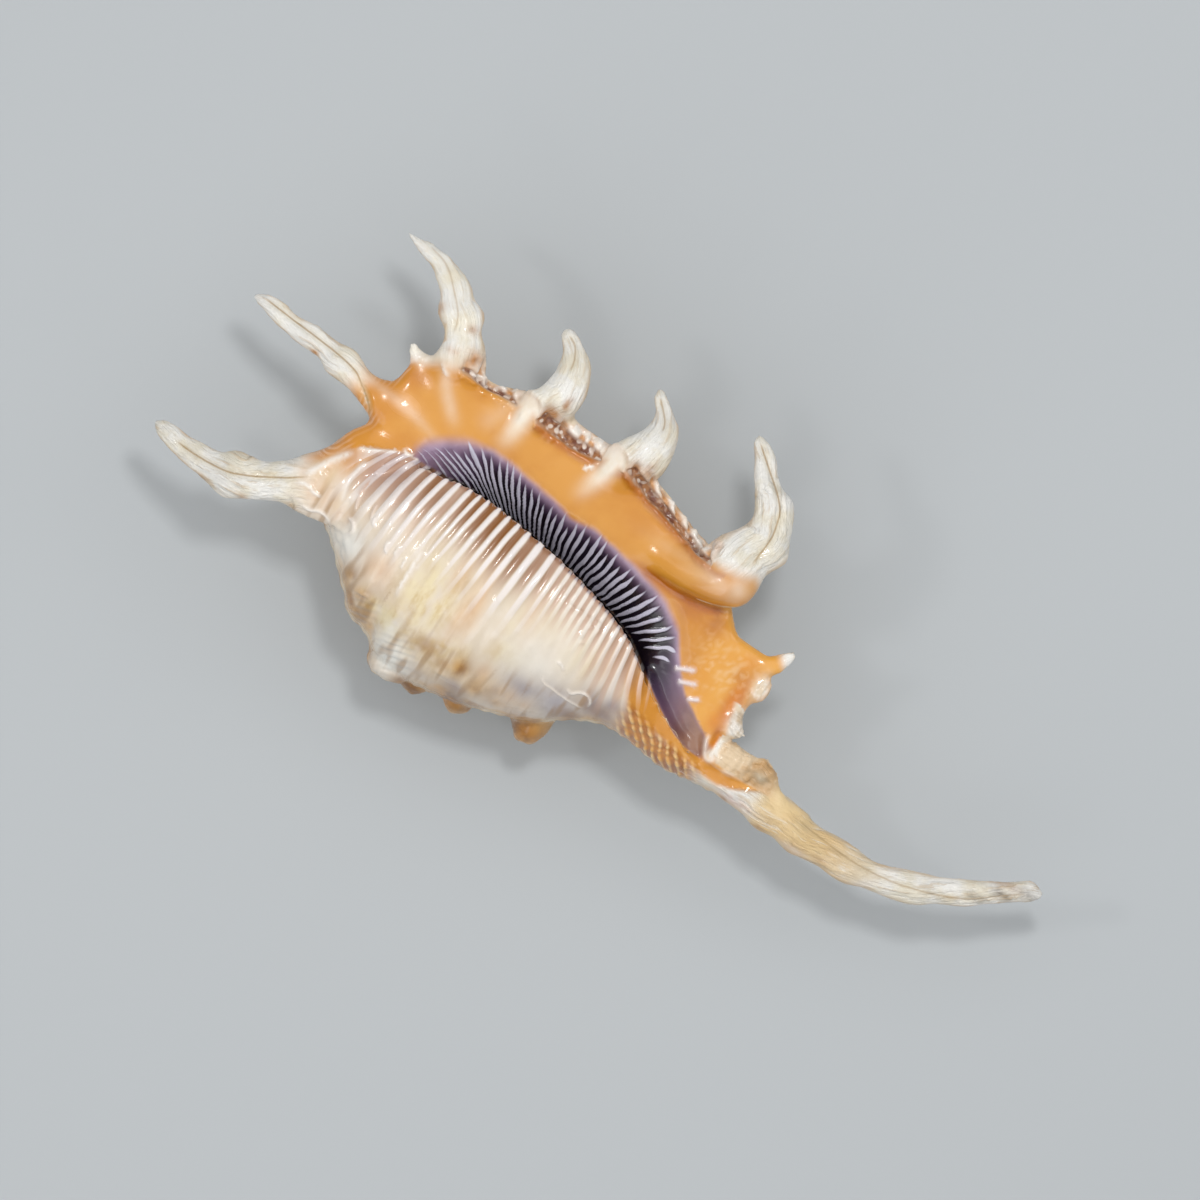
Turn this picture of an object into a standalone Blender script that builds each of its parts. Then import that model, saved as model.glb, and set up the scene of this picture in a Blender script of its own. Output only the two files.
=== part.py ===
"""A scorpion conch lying on its back, aperture up, as one closed solid.

The shell's own frame: +X runs along the coil's axis towards the siphonal canal, +Y towards the outer lip, +Z up out
of the aperture. The origin is at the middle of the shell's outline, on the surface that it rests on. Every length
below is in millimetres, and MM turns it into Blender's metres.
"""

import math

import bmesh
import bpy
import numpy as np

MM = 0.001

# Driving dimensions
APERTURE_STEPS = 34
BODY_STEPS = 110
BODY_SIDES = 48
HORN_SIDES = 20
VOXEL = 0.72
SMOOTHING_ROUNDS = 5
EDGE_ALLOWANCE = 0.22  # drawn outside each outline, for the smoothing to take away again
TRIANGLES = 9300
WHORL_GROWTH = 1.55  # each whorl of the spire is this much wider than the one before it
SUTURE_DEPTH = 0.085  # how far the spire draws in between two whorls, as a share of its width
KEELS = ((-30.8, 2.4, 0.9), (-15.6, 2.0, 0.5), (-5.0, 2.0, 0.55))  # x, half width and height of each spiral keel

SHELL_COLOUR = (0.86, 0.70, 0.52, 1.0)
SHELL_ROUGHNESS = 0.28

# The body whorl: x, then the lowest and highest y, then the lowest and highest z, from the spire to the canal
BODY_SECTIONS = (
    (-55.0, -10.9, -9.3, 21.0, 23.0),
    (-53.0, -12.9, -7.3, 19.0, 26.2),
    (-51.0, -14.6, -5.4, 17.0, 29.5),
    (-48.0, -16.7, -3.0, 14.5, 33.0),
    (-45.5, -18.8, -0.8, 12.2, 35.2),
    (-43.0, -21.2, 1.6, 9.6, 36.8),
    (-40.3, -23.9, 4.5, 7.2, 38.0),
    (-38.0, -26.2, 6.8, 5.4, 38.8),
    (-34.5, -27.1, 9.0, 4.0, 39.4),
    (-31.0, -29.3, 10.6, 2.8, 39.8),
    (-26.0, -30.3, 11.5, 2.0, 40.0),
    (-20.0, -29.8, 11.6, 2.0, 40.0),
    (-14.0, -28.5, 10.9, 2.4, 39.4),
    (-8.0, -26.7, 9.3, 3.2, 38.4),
    (-3.0, -24.4, 7.2, 5.4, 37.2),
    (1.0, -21.7, 5.0, 8.6, 35.8),
    (5.0, -19.8, 2.5, 12.0, 34.0),
    (9.0, -19.5, -0.8, 14.8, 32.2),
    (13.0, -19.9, -4.5, 16.5, 30.6),
    (17.0, -20.5, -8.5, 17.5, 29.4),
    (21.0, -20.0, -11.5, 18.2, 28.4),
    (25.0, -19.3, -13.0, 18.8, 27.4),
    (30.0, -19.7, -13.2, 19.0, 26.4),
)

# The outer lip, from the spire round to the notch: the inner and outer end of a line across it (x, y, x, y), the
# height of its face at each end, how thick its margin is, and how deep it is where it meets the body
LIP_SECTIONS = (
    (-47.0, -5.0, -54.3, -4.0, 34.0, 31.6, 2.2, 7),
    (-45.0, -2.5, -52.9, -0.9, 34.2, 31.6, 2.2, 8),
    (-43.0, -1.0, -51.4, 1.6, 34.2, 31.8, 2.2, 9),
    (-42.0, 0.5, -51.7, 5.6, 34.0, 32.4, 2.4, 9),
    (-41.0, 2.0, -51.1, 9.4, 34.0, 32.6, 2.2, 10),
    (-40.0, 3.0, -50.3, 13.0, 33.8, 32.8, 2.2, 11),
    (-38.5, 3.5, -46.6, 17.0, 33.6, 33.4, 2.6, 12),
    (-36.0, 4.0, -41.0, 17.6, 33.4, 33.6, 2.4, 14),
    (-33.0, 4.0, -37.5, 17.1, 33.3, 33.4, 2.2, 15),
    (-29.0, 4.0, -32.6, 18.8, 33.2, 33.5, 2.2, 16),
    (-25.0, 4.0, -26.6, 19.3, 33.2, 33.4, 2.4, 16),
    (-21.0, 3.5, -21.6, 18.9, 33.2, 33.2, 2.2, 16),
    (-16.0, 3.0, -16.6, 18.7, 33.0, 33.2, 2.2, 16),
    (-11.0, 2.5, -11.4, 18.5, 32.8, 33.2, 2.4, 16),
    (-6.0, 2.0, -6.0, 17.3, 32.6, 33.2, 2.2, 16),
    (-1.0, 1.0, 0.0, 15.0, 32.3, 33.2, 2.2, 14),
    (3.0, -0.5, 4.6, 13.6, 31.9, 33.0, 2.6, 13),
    (6.0, -2.5, 9.6, 11.6, 31.4, 32.4, 3.0, 12),
    (9.0, -4.5, 13.4, 7.0, 30.7, 31.2, 3.0, 11),
    (11.0, -6.5, 16.2, 4.0, 30.1, 30.2, 2.4, 9),
    (13.0, -8.5, 19.6, 3.6, 29.5, 29.6, 2.4, 8),
    (14.5, -10.0, 23.3, 2.8, 29.0, 29.0, 2.2, 7),
    (16.0, -11.3, 24.6, -1.4, 28.6, 28.2, 2.4, 7),
    (17.5, -12.4, 23.8, -5.4, 28.2, 27.8, 2.4, 6),
    (18.6, -13.4, 24.4, -9.2, 27.8, 27.6, 2.6, 6),
    (19.2, -14.4, 22.6, -11.8, 27.4, 27.4, 2.4, 5),
)

# The aperture: x, then y at the columella's edge and at the lip's rim, then the height of each, and the slot's depth
# below the lip's rim
APERTURE_SECTIONS = (
    (-44.5, 0.1, 0.9, 35.4, 34.6, 0.6),
    (-41.0, 0.4, 3.6, 36.2, 34.2, 2.5),
    (-37.0, 0.6, 6.0, 36.8, 33.6, 7.0),
    (-33.0, 1.1, 7.9, 37.2, 33.4, 12.0),
    (-29.0, 1.2, 7.7, 37.4, 33.3, 15.5),
    (-24.0, 0.7, 7.0, 37.4, 33.3, 17.0),
    (-18.0, -0.2, 6.0, 37.4, 33.2, 17.5),
    (-12.0, -1.3, 5.9, 37.0, 33.0, 17.0),
    (-6.0, -2.7, 4.9, 36.6, 32.7, 15.0),
    (-1.0, -4.3, 3.8, 35.8, 32.3, 13.0),
    (3.0, -6.2, 2.5, 34.6, 31.9, 11.0),
    (7.0, -9.0, 0.6, 33.0, 31.2, 8.5),
    (10.0, -10.9, -2.4, 31.6, 30.4, 6.8),
    (13.0, -12.6, -5.6, 30.4, 29.6, 5.4),
    (16.0, -13.8, -8.8, 29.4, 28.8, 4.2),
    (19.0, -14.8, -11.8, 28.6, 28.0, 3.2),
    (21.5, -15.8, -14.0, 27.8, 27.2, 2.2),
)

# Each digit, spur and the canal: its two edges in plan from root to tip, the height of its middle from root to tip,
# and how thick it is over how wide, at the root and at the tip
POSTERIOR_DIGIT = {
    "left": (
        (-46, -3), (-51.6, -2.6), (-53.9, -4), (-55.2, -6.2), (-57, -7.9), (-58.2, -9.6), (-60, -11.2),
        (-62.5, -12.9), (-65, -13.1), (-67, -13.7), (-69, -15.1), (-72, -15.2), (-74.7, -15.7), (-77, -15.2),
        (-79, -15.4), (-80.1, -16.3),
    ),
    "right": (
        (-44, -14.5), (-50, -16), (-53, -16.5), (-56, -16.6), (-59, -17.8), (-61.5, -19.2), (-63.7, -20.6),
        (-65.3, -21), (-67, -20.6), (-69, -20), (-72, -19.8), (-75, -19.2), (-77.5, -18.6), (-79.3, -17.8),
        (-80.1, -16.8),
    ),
    "height": (30.5, 30.6, 31.6, 31.8, 31.0, 29.4, 27.2, 25.0),
    "thickness": (0.52, 0.86),
}
SPIRE_DIGIT = {
    "left": (
        (-42, 2.5), (-48, 2), (-51.6, 2.4), (-53.5, 3.2), (-56, 4.1), (-58.5, 4.6), (-61, 4.6), (-62.2, 5.2),
        (-63, 5.9), (-65.5, 6.1), (-68, 6.2), (-70, 6.7), (-72.5, 7), (-74.5, 7.7), (-76.3, 8), (-77.3, 8.7),
    ),
    "right": (
        (-42, 8.5), (-48, 8.6), (-51.5, 8.7), (-53.5, 8.3), (-55.3, 8.3), (-57, 9.1), (-59.5, 10), (-62, 9.6),
        (-64, 9.7), (-66, 10.2), (-68, 9.9), (-70, 9.7), (-72, 10.2), (-73.5, 10.5), (-75.5, 10.3), (-77, 9.8),
        (-77.4, 9.2),
    ),
    "height": (31.6, 31.4, 31.6, 31.9, 31.2, 29.9, 28.0, 25.8),
    "thickness": (0.62, 0.92),
}
SHOULDER_DIGIT = {
    "left": (
        (-43, 8), (-46.6, 13), (-48, 16.5), (-47.7, 18.3), (-48.3, 19.7), (-49.2, 20.9), (-50.6, 21.6),
        (-51.5, 22.6), (-52, 24.2), (-53, 25.5), (-54.4, 26.5), (-56, 28), (-58, 28.4), (-59.7, 29.1),
        (-61.9, 30.2),
    ),
    "right": (
        (-37, 9), (-38.6, 14), (-39.6, 17.3), (-40.6, 19.4), (-42, 21.4), (-43.8, 22.9), (-44.1, 24.5),
        (-45.1, 25.9), (-47.3, 26.8), (-48.7, 28.2), (-50.3, 29.2), (-52.5, 29.9), (-55, 30.7), (-58, 30.9),
        (-60.5, 30.8), (-61.9, 30.7),
    ),
    "height": (31.4, 31.9, 32.6, 33.4, 33.2, 32.0, 30.0, 27.4),
    "thickness": (0.6, 0.85),
}
UPPER_LIP_DIGIT = {
    "left": (
        (-33.4, 9), (-33, 14), (-32.4, 18.6), (-31.1, 20.2), (-30.7, 21.5), (-30.3, 23.5), (-30.4, 25.5),
        (-30.9, 27.3), (-31.8, 28.4), (-32.5, 29), (-32.5, 29.9),
    ),
    "right": (
        (-27.6, 9), (-26.4, 14), (-24.9, 18.5), (-24.3, 19.8), (-24, 21.5), (-24.1, 23), (-24.8, 25.2),
        (-26, 27.5), (-27.5, 28.9), (-29, 29.8), (-30.3, 30.6), (-31.5, 31.1), (-32.3, 30.5),
    ),
    "height": (31.0, 31.7, 33.0, 34.0, 34.4, 34.0, 32.8, 31.0),
    "thickness": (0.62, 0.92),
}
MIDDLE_LIP_DIGIT = {
    "left": (
        (-17.8, 9), (-17.3, 14), (-16.6, 18), (-15.8, 19.8), (-14.8, 21.6), (-13.6, 23.4), (-13.1, 25.3),
        (-13.3, 26.8), (-14.2, 27.9), (-15, 28.9), (-14.9, 29.6),
    ),
    "right": (
        (-11.8, 9), (-10, 14), (-8.3, 17), (-7.5, 19), (-7.3, 21), (-7.6, 23), (-8.1, 25), (-9, 26.6),
        (-10.2, 27.6), (-11.6, 28.7), (-12.8, 29.5), (-13.8, 30.3), (-14.6, 30.2),
    ),
    "height": (30.8, 31.5, 33.0, 34.2, 34.6, 34.2, 33.0, 31.2),
    "thickness": (0.62, 0.92),
}
LOWER_LIP_DIGIT = {
    "left": (
        (-7, 10), (0, 11), (4, 12.2), (5.2, 14.6), (6, 16.2), (7.2, 17.8), (8.3, 19.5), (8.6, 20.9), (8, 22.4),
        (6.5, 24.8), (5, 27.1), (4, 29), (2.9, 30.4), (2.2, 31.7),
    ),
    "right": (
        (-7, 6.4), (0, 5.4), (5, 4.9), (9, 5.5), (12, 6.4), (14.2, 8), (15.1, 10), (15.1, 12.5), (14.9, 14),
        (15.6, 15.6), (16.6, 17.3), (16.4, 19), (15.3, 21.2), (14.3, 23.6), (13.2, 25.6), (12.4, 26.6),
        (11.2, 27), (9.8, 27.3), (8.2, 28.8), (6.6, 31), (5.3, 31.8), (3.6, 32.6), (2.6, 32.4),
    ),
    "height": (30.8, 32.6, 33.6, 34.6, 35.0, 35.0, 34.2, 32.8, 31.0, 29.2),
    "thickness": (0.6, 0.9),
}
SIPHONAL_CANAL = {
    "left": (
        (20, -12.5), (26, -13.2), (31, -13.6), (34, -13.6), (36, -13.9), (38, -14), (40, -14.3), (41.4, -14.5),
        (42.5, -15.2), (45, -15.2), (48, -15), (51, -15.1), (54, -15.4), (56.5, -14.8), (59, -13.9),
        (62, -12.8), (64, -12.1), (66, -11), (68.5, -9.7), (71, -8.5), (73.5, -7.2), (75.3, -6.1),
        (76.3, -5.2), (77.6, -4.6), (78.7, -4.8), (79.6, -5.6),
    ),
    "right": (
        (20, -20), (26, -19.3), (29, -19.7), (32, -19.8), (34.5, -20.8), (36.5, -20.7), (38.5, -20.4),
        (41.5, -21.2), (44, -20.9), (47, -20.5), (50, -20.8), (52.5, -20.5), (55, -19.6), (58, -19.2),
        (62, -18.3), (64.2, -17.2), (66, -15.8), (68.5, -14.6), (71, -13.3), (72.5, -11.9), (74.5, -10.5),
        (77, -8.7), (78.8, -7.5), (79.9, -6.2),
    ),
    "height": (23.0, 22.8, 22.4, 21.6, 20.6, 19.6, 18.8, 18.2),
    "thickness": (0.98, 0.92),
}
CANAL_FRILL = {
    "left": (
        (22.6, -11.4), (25, -11.1), (27, -11.2), (29, -11.2), (30.2, -10.8), (31.2, -10.5), (32.2, -11.1),
        (33.1, -11.4), (34.2, -12.4), (35.2, -13.2), (37, -14.2),
    ),
    "right": (
        (23.4, -15.2), (25, -15.2), (27, -15.3), (29, -14.8), (30.5, -14.2), (32, -14.4), (34, -14.8),
        (37, -15.8),
    ),
    "height": (25.6, 25.8, 25.8, 25.4, 24.0),
    "thickness": (0.75, 0.6),
}
SPIRE_SPUR = {
    "left": ((-49, 10.5), (-50.4, 13), (-51.6, 14.2), (-51.9, 15.1)),
    "right": ((-46.5, 13), (-48.8, 15.3), (-50.2, 15.5), (-51.2, 16), (-51.8, 15.6)),
    "height": (31.8, 32.2, 32.6),
    "thickness": (0.6, 0.9),
}
NOTCH_SPUR = {
    "left": ((20, -2), (23, 0.3), (24.4, 1.4), (25.4, 2.6), (25.8, 4.2), (25.9, 5.3)),
    "right": ((19, 2.5), (21.5, 3.2), (23, 4), (24.3, 5.4), (25.4, 5.9)),
    "height": (28.0, 28.4, 29.0),
    "thickness": (0.55, 0.9),
}
NOTCH_TOOTH = {
    "left": ((20, -12), (22, -11.2), (23.6, -10.7), (25, -9.8)),
    "right": ((20, -6), (22.5, -6.2), (23.9, -6.8), (24.7, -8.2), (25.2, -9.2)),
    "height": (26.6, 27.2, 27.6),
    "thickness": (0.5, 0.8),
}
HORNS = (
    POSTERIOR_DIGIT,
    SPIRE_DIGIT,
    SHOULDER_DIGIT,
    UPPER_LIP_DIGIT,
    MIDDLE_LIP_DIGIT,
    LOWER_LIP_DIGIT,
    SIPHONAL_CANAL,
    CANAL_FRILL,
    SPIRE_SPUR,
    NOTCH_SPUR,
    NOTCH_TOOTH,
)

# The open trough that leads from the aperture into the canal
CANAL_TROUGH = {
    "left": (
        (14, -10.8), (18, -12.4), (21.5, -14.9), (24, -15.8), (27, -15.7), (30, -14.9), (32.5, -14.3), (35, -14.2),
    ),
    "right": (
        (14, -13.4), (18, -14.8), (21.5, -16.7), (24, -17.8), (27, -17.9), (30, -17.6), (32.5, -16.3),
        (35, -14.8),
    ),
    "height": (29.4, 28.4, 27.6, 27.2, 26.6),
    "thickness": (1.2, 1.2),
}

# The curled edge of the lip at the notch: its centre line and its radius
NOTCH_CURL = (
    (20.9, -10.4, 27.6),
    (21.2, -12.8, 27.5),
    (21.8, -14.4, 27.4),
    (23.0, -15.2, 27.2),
    (24.2, -14.9, 27.0),
    (24.6, -13.4, 26.8),
)
NOTCH_CURL_RADIUS = 0.85

# The knobs on the whorl's back: x, the angle round the coil's axis from straight up towards the lip, the height, and
# the half length along x and half width round the whorl. The shell stands on the tallest four, which are worn flat.
KNOBS = (
    (-28.4, 266, 2.2, 3.7, 4.2),
    (-23.5, 247, 3.2, 2.8, 3.6),
    (-31.0, 236, 3.2, 3.2, 4.0),
    (-31.2, 208, 6.0, 4.2, 5.4),
    (-30.6, 179, 1.9, 3.6, 4.6),
    (-28.2, 150, 5.8, 5.0, 6.6),
    (-16.0, 253, 2.9, 2.6, 3.4),
    (-16.4, 228, 2.2, 2.6, 3.4),
    (-16.4, 204, 1.9, 2.6, 3.4),
    (-15.8, 180, 1.7, 2.8, 3.6),
    (-14.0, 152, 2.6, 3.2, 4.2),
    (-4.0, 256, 4.8, 3.2, 3.6),
    (-5.2, 226, 2.6, 2.8, 3.4),
    (-6.2, 192, 5.0, 3.8, 4.8),
    (-8.6, 158, 5.4, 4.2, 5.4),
)
LIP_BEAD = (24.1, -1.6, 27.6)  # the round bead on the lip's margin near the notch
LIP_BEAD_RADII = (1.65, 2.35, 1.8)


def smooth_curve(points, count):
    """Evenly spaced points along a Catmull-Rom curve through the given ones."""
    points = np.array(points, float)
    ends = np.vstack([2 * points[0] - points[1], points, 2 * points[-1] - points[-2]])
    t = np.linspace(0, 1, 16, endpoint=False)[:, None]
    fine = []
    for before, start, stop, after in zip(ends, ends[1:], ends[2:], ends[3:]):
        fine.append(
            0.5
            * (
                2 * start
                + (stop - before) * t
                + (2 * before - 5 * start + 4 * stop - after) * t**2
                + (3 * start - before - 3 * stop + after) * t**3
            )
        )
    fine = np.vstack(fine + [points[-1:]])
    run = np.concatenate([[0], np.cumsum(np.linalg.norm(np.diff(fine, axis=0), axis=1))])
    wanted = np.linspace(0, run[-1], count)
    return np.column_stack([np.interp(wanted, run, column) for column in fine.T])


def resampled(sections, count):
    """Sections given at uneven steps, as a smooth table with even steps."""
    return smooth_curve(sections, count)


def loft(name, rings):
    """A closed mesh through rings that all have the same number of points, with a flat cap at each end."""
    rings = np.array(rings) * MM
    count, sides, _ = rings.shape
    shape = bmesh.new()
    verts = [[shape.verts.new(point) for point in ring] for ring in rings]
    for lower, upper in zip(verts, verts[1:]):
        for side in range(sides):
            following = (side + 1) % sides
            shape.faces.new((lower[side], lower[following], upper[following], upper[side]))
    shape.faces.new(reversed(verts[0]))
    shape.faces.new(verts[-1])
    bmesh.ops.triangulate(shape, faces=[face for face in shape.faces if len(face.verts) > 4])
    bmesh.ops.recalc_face_normals(shape, faces=shape.faces)
    mesh = bpy.data.meshes.new(name)
    shape.to_mesh(mesh)
    shape.free()
    return bpy.data.objects.new(name, mesh)


def body_section(x):
    """The middle (y, z) and the half sizes (y, z) of the body whorl at x."""
    table = resampled(BODY_SECTIONS, BODY_STEPS * 2)
    low_y, high_y, low_z, high_z = (np.interp(x, table[:, 0], table[:, k]) for k in range(1, 5))
    return (low_y + high_y) / 2, (low_z + high_z) / 2, (high_y - low_y) / 2, (high_z - low_z) / 2


def whorl_relief(x, angle, radius, shoulder):
    """How much wider the whorl is here than its plain oval, as a share: sutures on the spire and keels, which the
    callus covers on the aperture's side."""
    back = min(1.0, max(0.0, 0.3 - math.cos(angle)))
    keels = sum(height * math.exp(-(((x - place) / half) ** 2)) for place, half, height in KEELS) * back / radius
    if x > -35:
        return keels
    turn = math.log(radius / shoulder) / math.log(WHORL_GROWTH) + angle / (2 * math.pi)
    step = turn - math.floor(turn)
    fade = min(1.0, (-35 - x) / 3)
    return keels - fade * back * SUTURE_DEPTH * math.exp(-((min(step, 1 - step) / 0.13) ** 2))


def make_body():
    """The spire, the body whorl and the base, as one loft of ovals along the coil's axis."""
    angles = np.linspace(0, 2 * math.pi, BODY_SIDES, endpoint=False)
    shoulder = body_section(-31)[2]
    rings = []
    for x in resampled(BODY_SECTIONS, BODY_STEPS)[:, 0]:
        middle_y, middle_z, half_y, half_z = body_section(x)
        ring = []
        for a in angles:
            share = 1 + whorl_relief(x, a, half_y, shoulder)
            ring.append((x, middle_y + half_y * share * math.sin(a), middle_z + half_z * share * math.cos(a)))
        rings.append(ring)
    return loft("body", rings)


def make_lip():
    """The flared outer lip, as a loft of sections that fan round from the spire to the notch."""
    rings = []
    for in_x, in_y, out_x, out_y, in_z, out_z, margin, root in resampled(LIP_SECTIONS, 70):
        width = math.hypot(out_x - in_x, out_y - in_y)
        along = np.array([out_x - in_x, out_y - in_y]) / width
        width += EDGE_ALLOWANCE
        rise = out_z - in_z
        face = (
            (-5.0, in_z - 4.0),
            (0.0, in_z - 0.2),
            (0.35 * width, in_z + 0.4 * rise + 0.2),
            (0.7 * width, in_z + 0.8 * rise + 0.3),
            (width - 1.2, out_z + 0.2),
            (width - 0.2, out_z - 0.25 * margin),
            (width, out_z - 0.5 * margin),
            (width - 0.3, out_z - 0.8 * margin),
            (width - 1.4, out_z - margin),
            (0.75 * width, out_z - margin - 0.12 * root),
            (0.5 * width, out_z - margin - 0.32 * root),
            (0.22 * width, out_z - margin - 0.65 * root),
            (-1.0, out_z - margin - root),
            (-5.0, out_z - margin - root),
        )
        rings.append([(in_x + along[0] * s, in_y + along[1] * s, z) for s, z in face])
    return loft("lip", rings)


def make_horn(name, horn, steps=64):
    """A digit, spur or canal lofted between its two edges, rounded above and below."""
    left, right = (np.array(horn[side], float) for side in ("left", "right"))
    tip = (left[-1] + right[-1] - left[-3] - right[-3]) / 2
    reach = 3 * EDGE_ALLOWANCE * tip / np.linalg.norm(tip)
    left, right = (smooth_curve(np.vstack([edge[:-1], edge[-1:] + reach]), steps) for edge in (left, right))
    share = np.linspace(0, 1, steps)
    height = smooth_curve([(i, z) for i, z in enumerate(horn["height"])], steps)[:, 1]
    thickness = np.interp(share, (0, 1), horn["thickness"])
    angles = np.linspace(0, 2 * math.pi, HORN_SIDES, endpoint=False)
    rings = []
    for a, b, z, ratio in zip(left, right, height, thickness):
        middle = (a + b) / 2
        half = (b - a) / 2
        half *= 1 + EDGE_ALLOWANCE / max(np.linalg.norm(half), 0.25)
        depth = max(np.linalg.norm(half), 0.25) * ratio
        rings.append([(*(middle + half * math.cos(t)), z + depth * math.sin(t)) for t in angles])
    return loft(name, rings)


def make_aperture_cutter():
    """What the aperture takes out: the sloping, toothed wall of the lip and the hollow that turns in under it."""
    rings = []
    for x, inner_y, rim_y, inner_z, rim_z, depth in resampled(APERTURE_SECTIONS, APERTURE_STEPS):
        gap = rim_y - inner_y
        hollow = min(1.0, depth / 15)
        outline = (
            (inner_y + 0.3, inner_z + 6),
            (rim_y + 4.0 * hollow, rim_z + 6),
            (rim_y + 3.0 * hollow, rim_z + 0.4),
            (rim_y + 1.2 * hollow, rim_z - 0.05),
            (rim_y - 0.05 * gap, rim_z - 0.5 * hollow - 0.1),
            (rim_y - 0.30 * gap, rim_z - 0.10 * depth - 0.4),
            (rim_y - 0.65 * gap, rim_z - 0.22 * depth - 0.4),
            (inner_y + 0.2, rim_z - 0.38 * depth - 0.5),
            (inner_y - 2.2 * hollow, rim_z - 0.66 * depth),
            (inner_y - 6.5 * hollow, rim_z - depth),
            (inner_y - 11.0 * hollow, rim_z - 0.98 * depth),
            (inner_y - 11.5 * hollow, rim_z - 0.66 * depth),
            (inner_y - 6.0 * hollow, rim_z - 0.38 * depth),
            (inner_y - 2.0 * hollow - 0.2, min(rim_z - 0.10 * depth, inner_z - 2.6 * hollow - 0.2)),
            (inner_y - 0.3, inner_z - 0.9),
        )
        rings.append([(x, y, z) for y, z in outline])
    return loft("aperture_cutter", rings)


def make_wear_cutter():
    """What has worn off under the knobs that the shell stands on: everything below the ground."""
    shape = bmesh.new()
    bmesh.ops.create_cube(shape, size=1.0)
    mesh = bpy.data.meshes.new("wear_cutter")
    shape.to_mesh(mesh)
    shape.free()
    block = bpy.data.objects.new("wear_cutter", mesh)
    block.location = (-18 * MM, -6 * MM, -5 * MM)
    block.scale = (60 * MM, 60 * MM, 10 * MM)
    return block


def make_ellipsoid(name, place, radii, tilt=0.0):
    """A rounded lump. tilt turns it about X, so that its height points out of the whorl."""
    shape = bmesh.new()
    bmesh.ops.create_uvsphere(shape, u_segments=24, v_segments=16, radius=1.0)
    mesh = bpy.data.meshes.new(name)
    shape.to_mesh(mesh)
    shape.free()
    lump = bpy.data.objects.new(name, mesh)
    lump.location = [value * MM for value in place]
    lump.rotation_euler = (tilt, 0, 0)
    lump.scale = [value * MM for value in radii]
    return lump


def make_knob(index, x, degrees, height, half_length, half_width):
    """A knob on the whorl. Its middle is on the whorl's surface, so that its own height stands out of it."""
    angle = math.radians(degrees)
    middle_y, middle_z, half_y, half_z = body_section(x)
    place = (x, middle_y + half_y * math.sin(angle), middle_z + half_z * math.cos(angle))
    return make_ellipsoid(f"knob_{index}", place, (half_length, half_width, height), -angle)


def make_curl():
    """The curled edge at the notch, a bent round tube."""
    line = bpy.data.curves.new("notch_curl", "CURVE")
    line.dimensions = "3D"
    line.bevel_depth = NOTCH_CURL_RADIUS * MM
    line.bevel_resolution = 3
    line.use_fill_caps = True
    points = smooth_curve(NOTCH_CURL, 16)
    spline = line.splines.new("POLY")
    spline.points.add(len(points) - 1)
    for point, place in zip(spline.points, points):
        point.co = (*(place * MM), 1)
    return bpy.data.objects.new("notch_curl", line)


def cut(piece, cutter):
    """Takes the cutter out of the piece with a Boolean modifier."""
    boolean = piece.modifiers.new(cutter.name, "BOOLEAN")
    boolean.operation = "DIFFERENCE"
    boolean.solver = "EXACT"
    boolean.object = cutter


def join(pieces):
    """The evaluated meshes of all the pieces, in one mesh that still overlaps itself."""
    bpy.context.view_layer.update()
    graph = bpy.context.evaluated_depsgraph_get()
    whole = bmesh.new()
    for piece in pieces:
        mesh = bpy.data.meshes.new_from_object(piece.evaluated_get(graph))
        mesh.transform(piece.matrix_world)
        whole.from_mesh(mesh)
        bpy.data.meshes.remove(mesh)
    bmesh.ops.remove_doubles(whole, verts=whole.verts, dist=1e-6)
    mesh = bpy.data.meshes.new("scorpion_conch_shell")
    whole.to_mesh(mesh)
    whole.free()
    return mesh


def shell_material():
    """The plain stand-in for the shell's glaze."""
    material = bpy.data.materials.new("shell_glaze")
    material.use_nodes = True
    surface = material.node_tree.nodes["Principled BSDF"]
    surface.inputs["Base Color"].default_value = SHELL_COLOUR
    surface.inputs["Roughness"].default_value = SHELL_ROUGHNESS
    surface.inputs["Metallic"].default_value = 0.0
    return material


def main():
    for old in list(bpy.data.objects):
        bpy.data.objects.remove(old)
    model = bpy.data.collections.new("scorpion_conch")
    cutters = bpy.data.collections.new("cutters")
    bpy.context.scene.collection.children.link(model)
    bpy.context.scene.collection.children.link(cutters)

    body, lip = make_body(), make_lip()
    horns = [make_horn(f"horn_{i}", horn) for i, horn in enumerate(HORNS)]
    knobs = [make_knob(i, *knob) for i, knob in enumerate(KNOBS) if knob[2] > 0]
    bead = make_ellipsoid("lip_bead", LIP_BEAD, LIP_BEAD_RADII)
    curl = make_curl()
    aperture, trough, worn = make_aperture_cutter(), make_horn("trough_cutter", CANAL_TROUGH), make_wear_cutter()
    pieces = [body, lip, *horns, *knobs, bead, curl]
    for piece in pieces:
        model.objects.link(piece)
    for cutter in (aperture, trough, worn):
        cutters.objects.link(cutter)
        cutter.hide_render = True
        cutter.display_type = "WIRE"
    for piece in (body, lip, horns[6]):
        cut(piece, aperture)
        cut(piece, trough)

    mesh = join(pieces)
    for piece in pieces:
        bpy.data.objects.remove(piece)
    mesh.materials.append(shell_material())
    shell = bpy.data.objects.new("scorpion_conch_shell", mesh)
    model.objects.link(shell)

    remesh = shell.modifiers.new("one skin", "REMESH")
    remesh.mode = "VOXEL"
    remesh.voxel_size = VOXEL * MM
    smooth = shell.modifiers.new("blend", "SMOOTH")
    smooth.factor = 0.5
    smooth.iterations = SMOOTHING_ROUNDS
    cut(shell, worn)
    graph = bpy.context.evaluated_depsgraph_get()
    faces = len(shell.evaluated_get(graph).data.polygons)
    reduce = shell.modifiers.new("reduce", "DECIMATE")
    reduce.ratio = TRIANGLES / (2 * faces)
    print("faces before reducing:", faces)


main()
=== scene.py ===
import math

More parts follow.
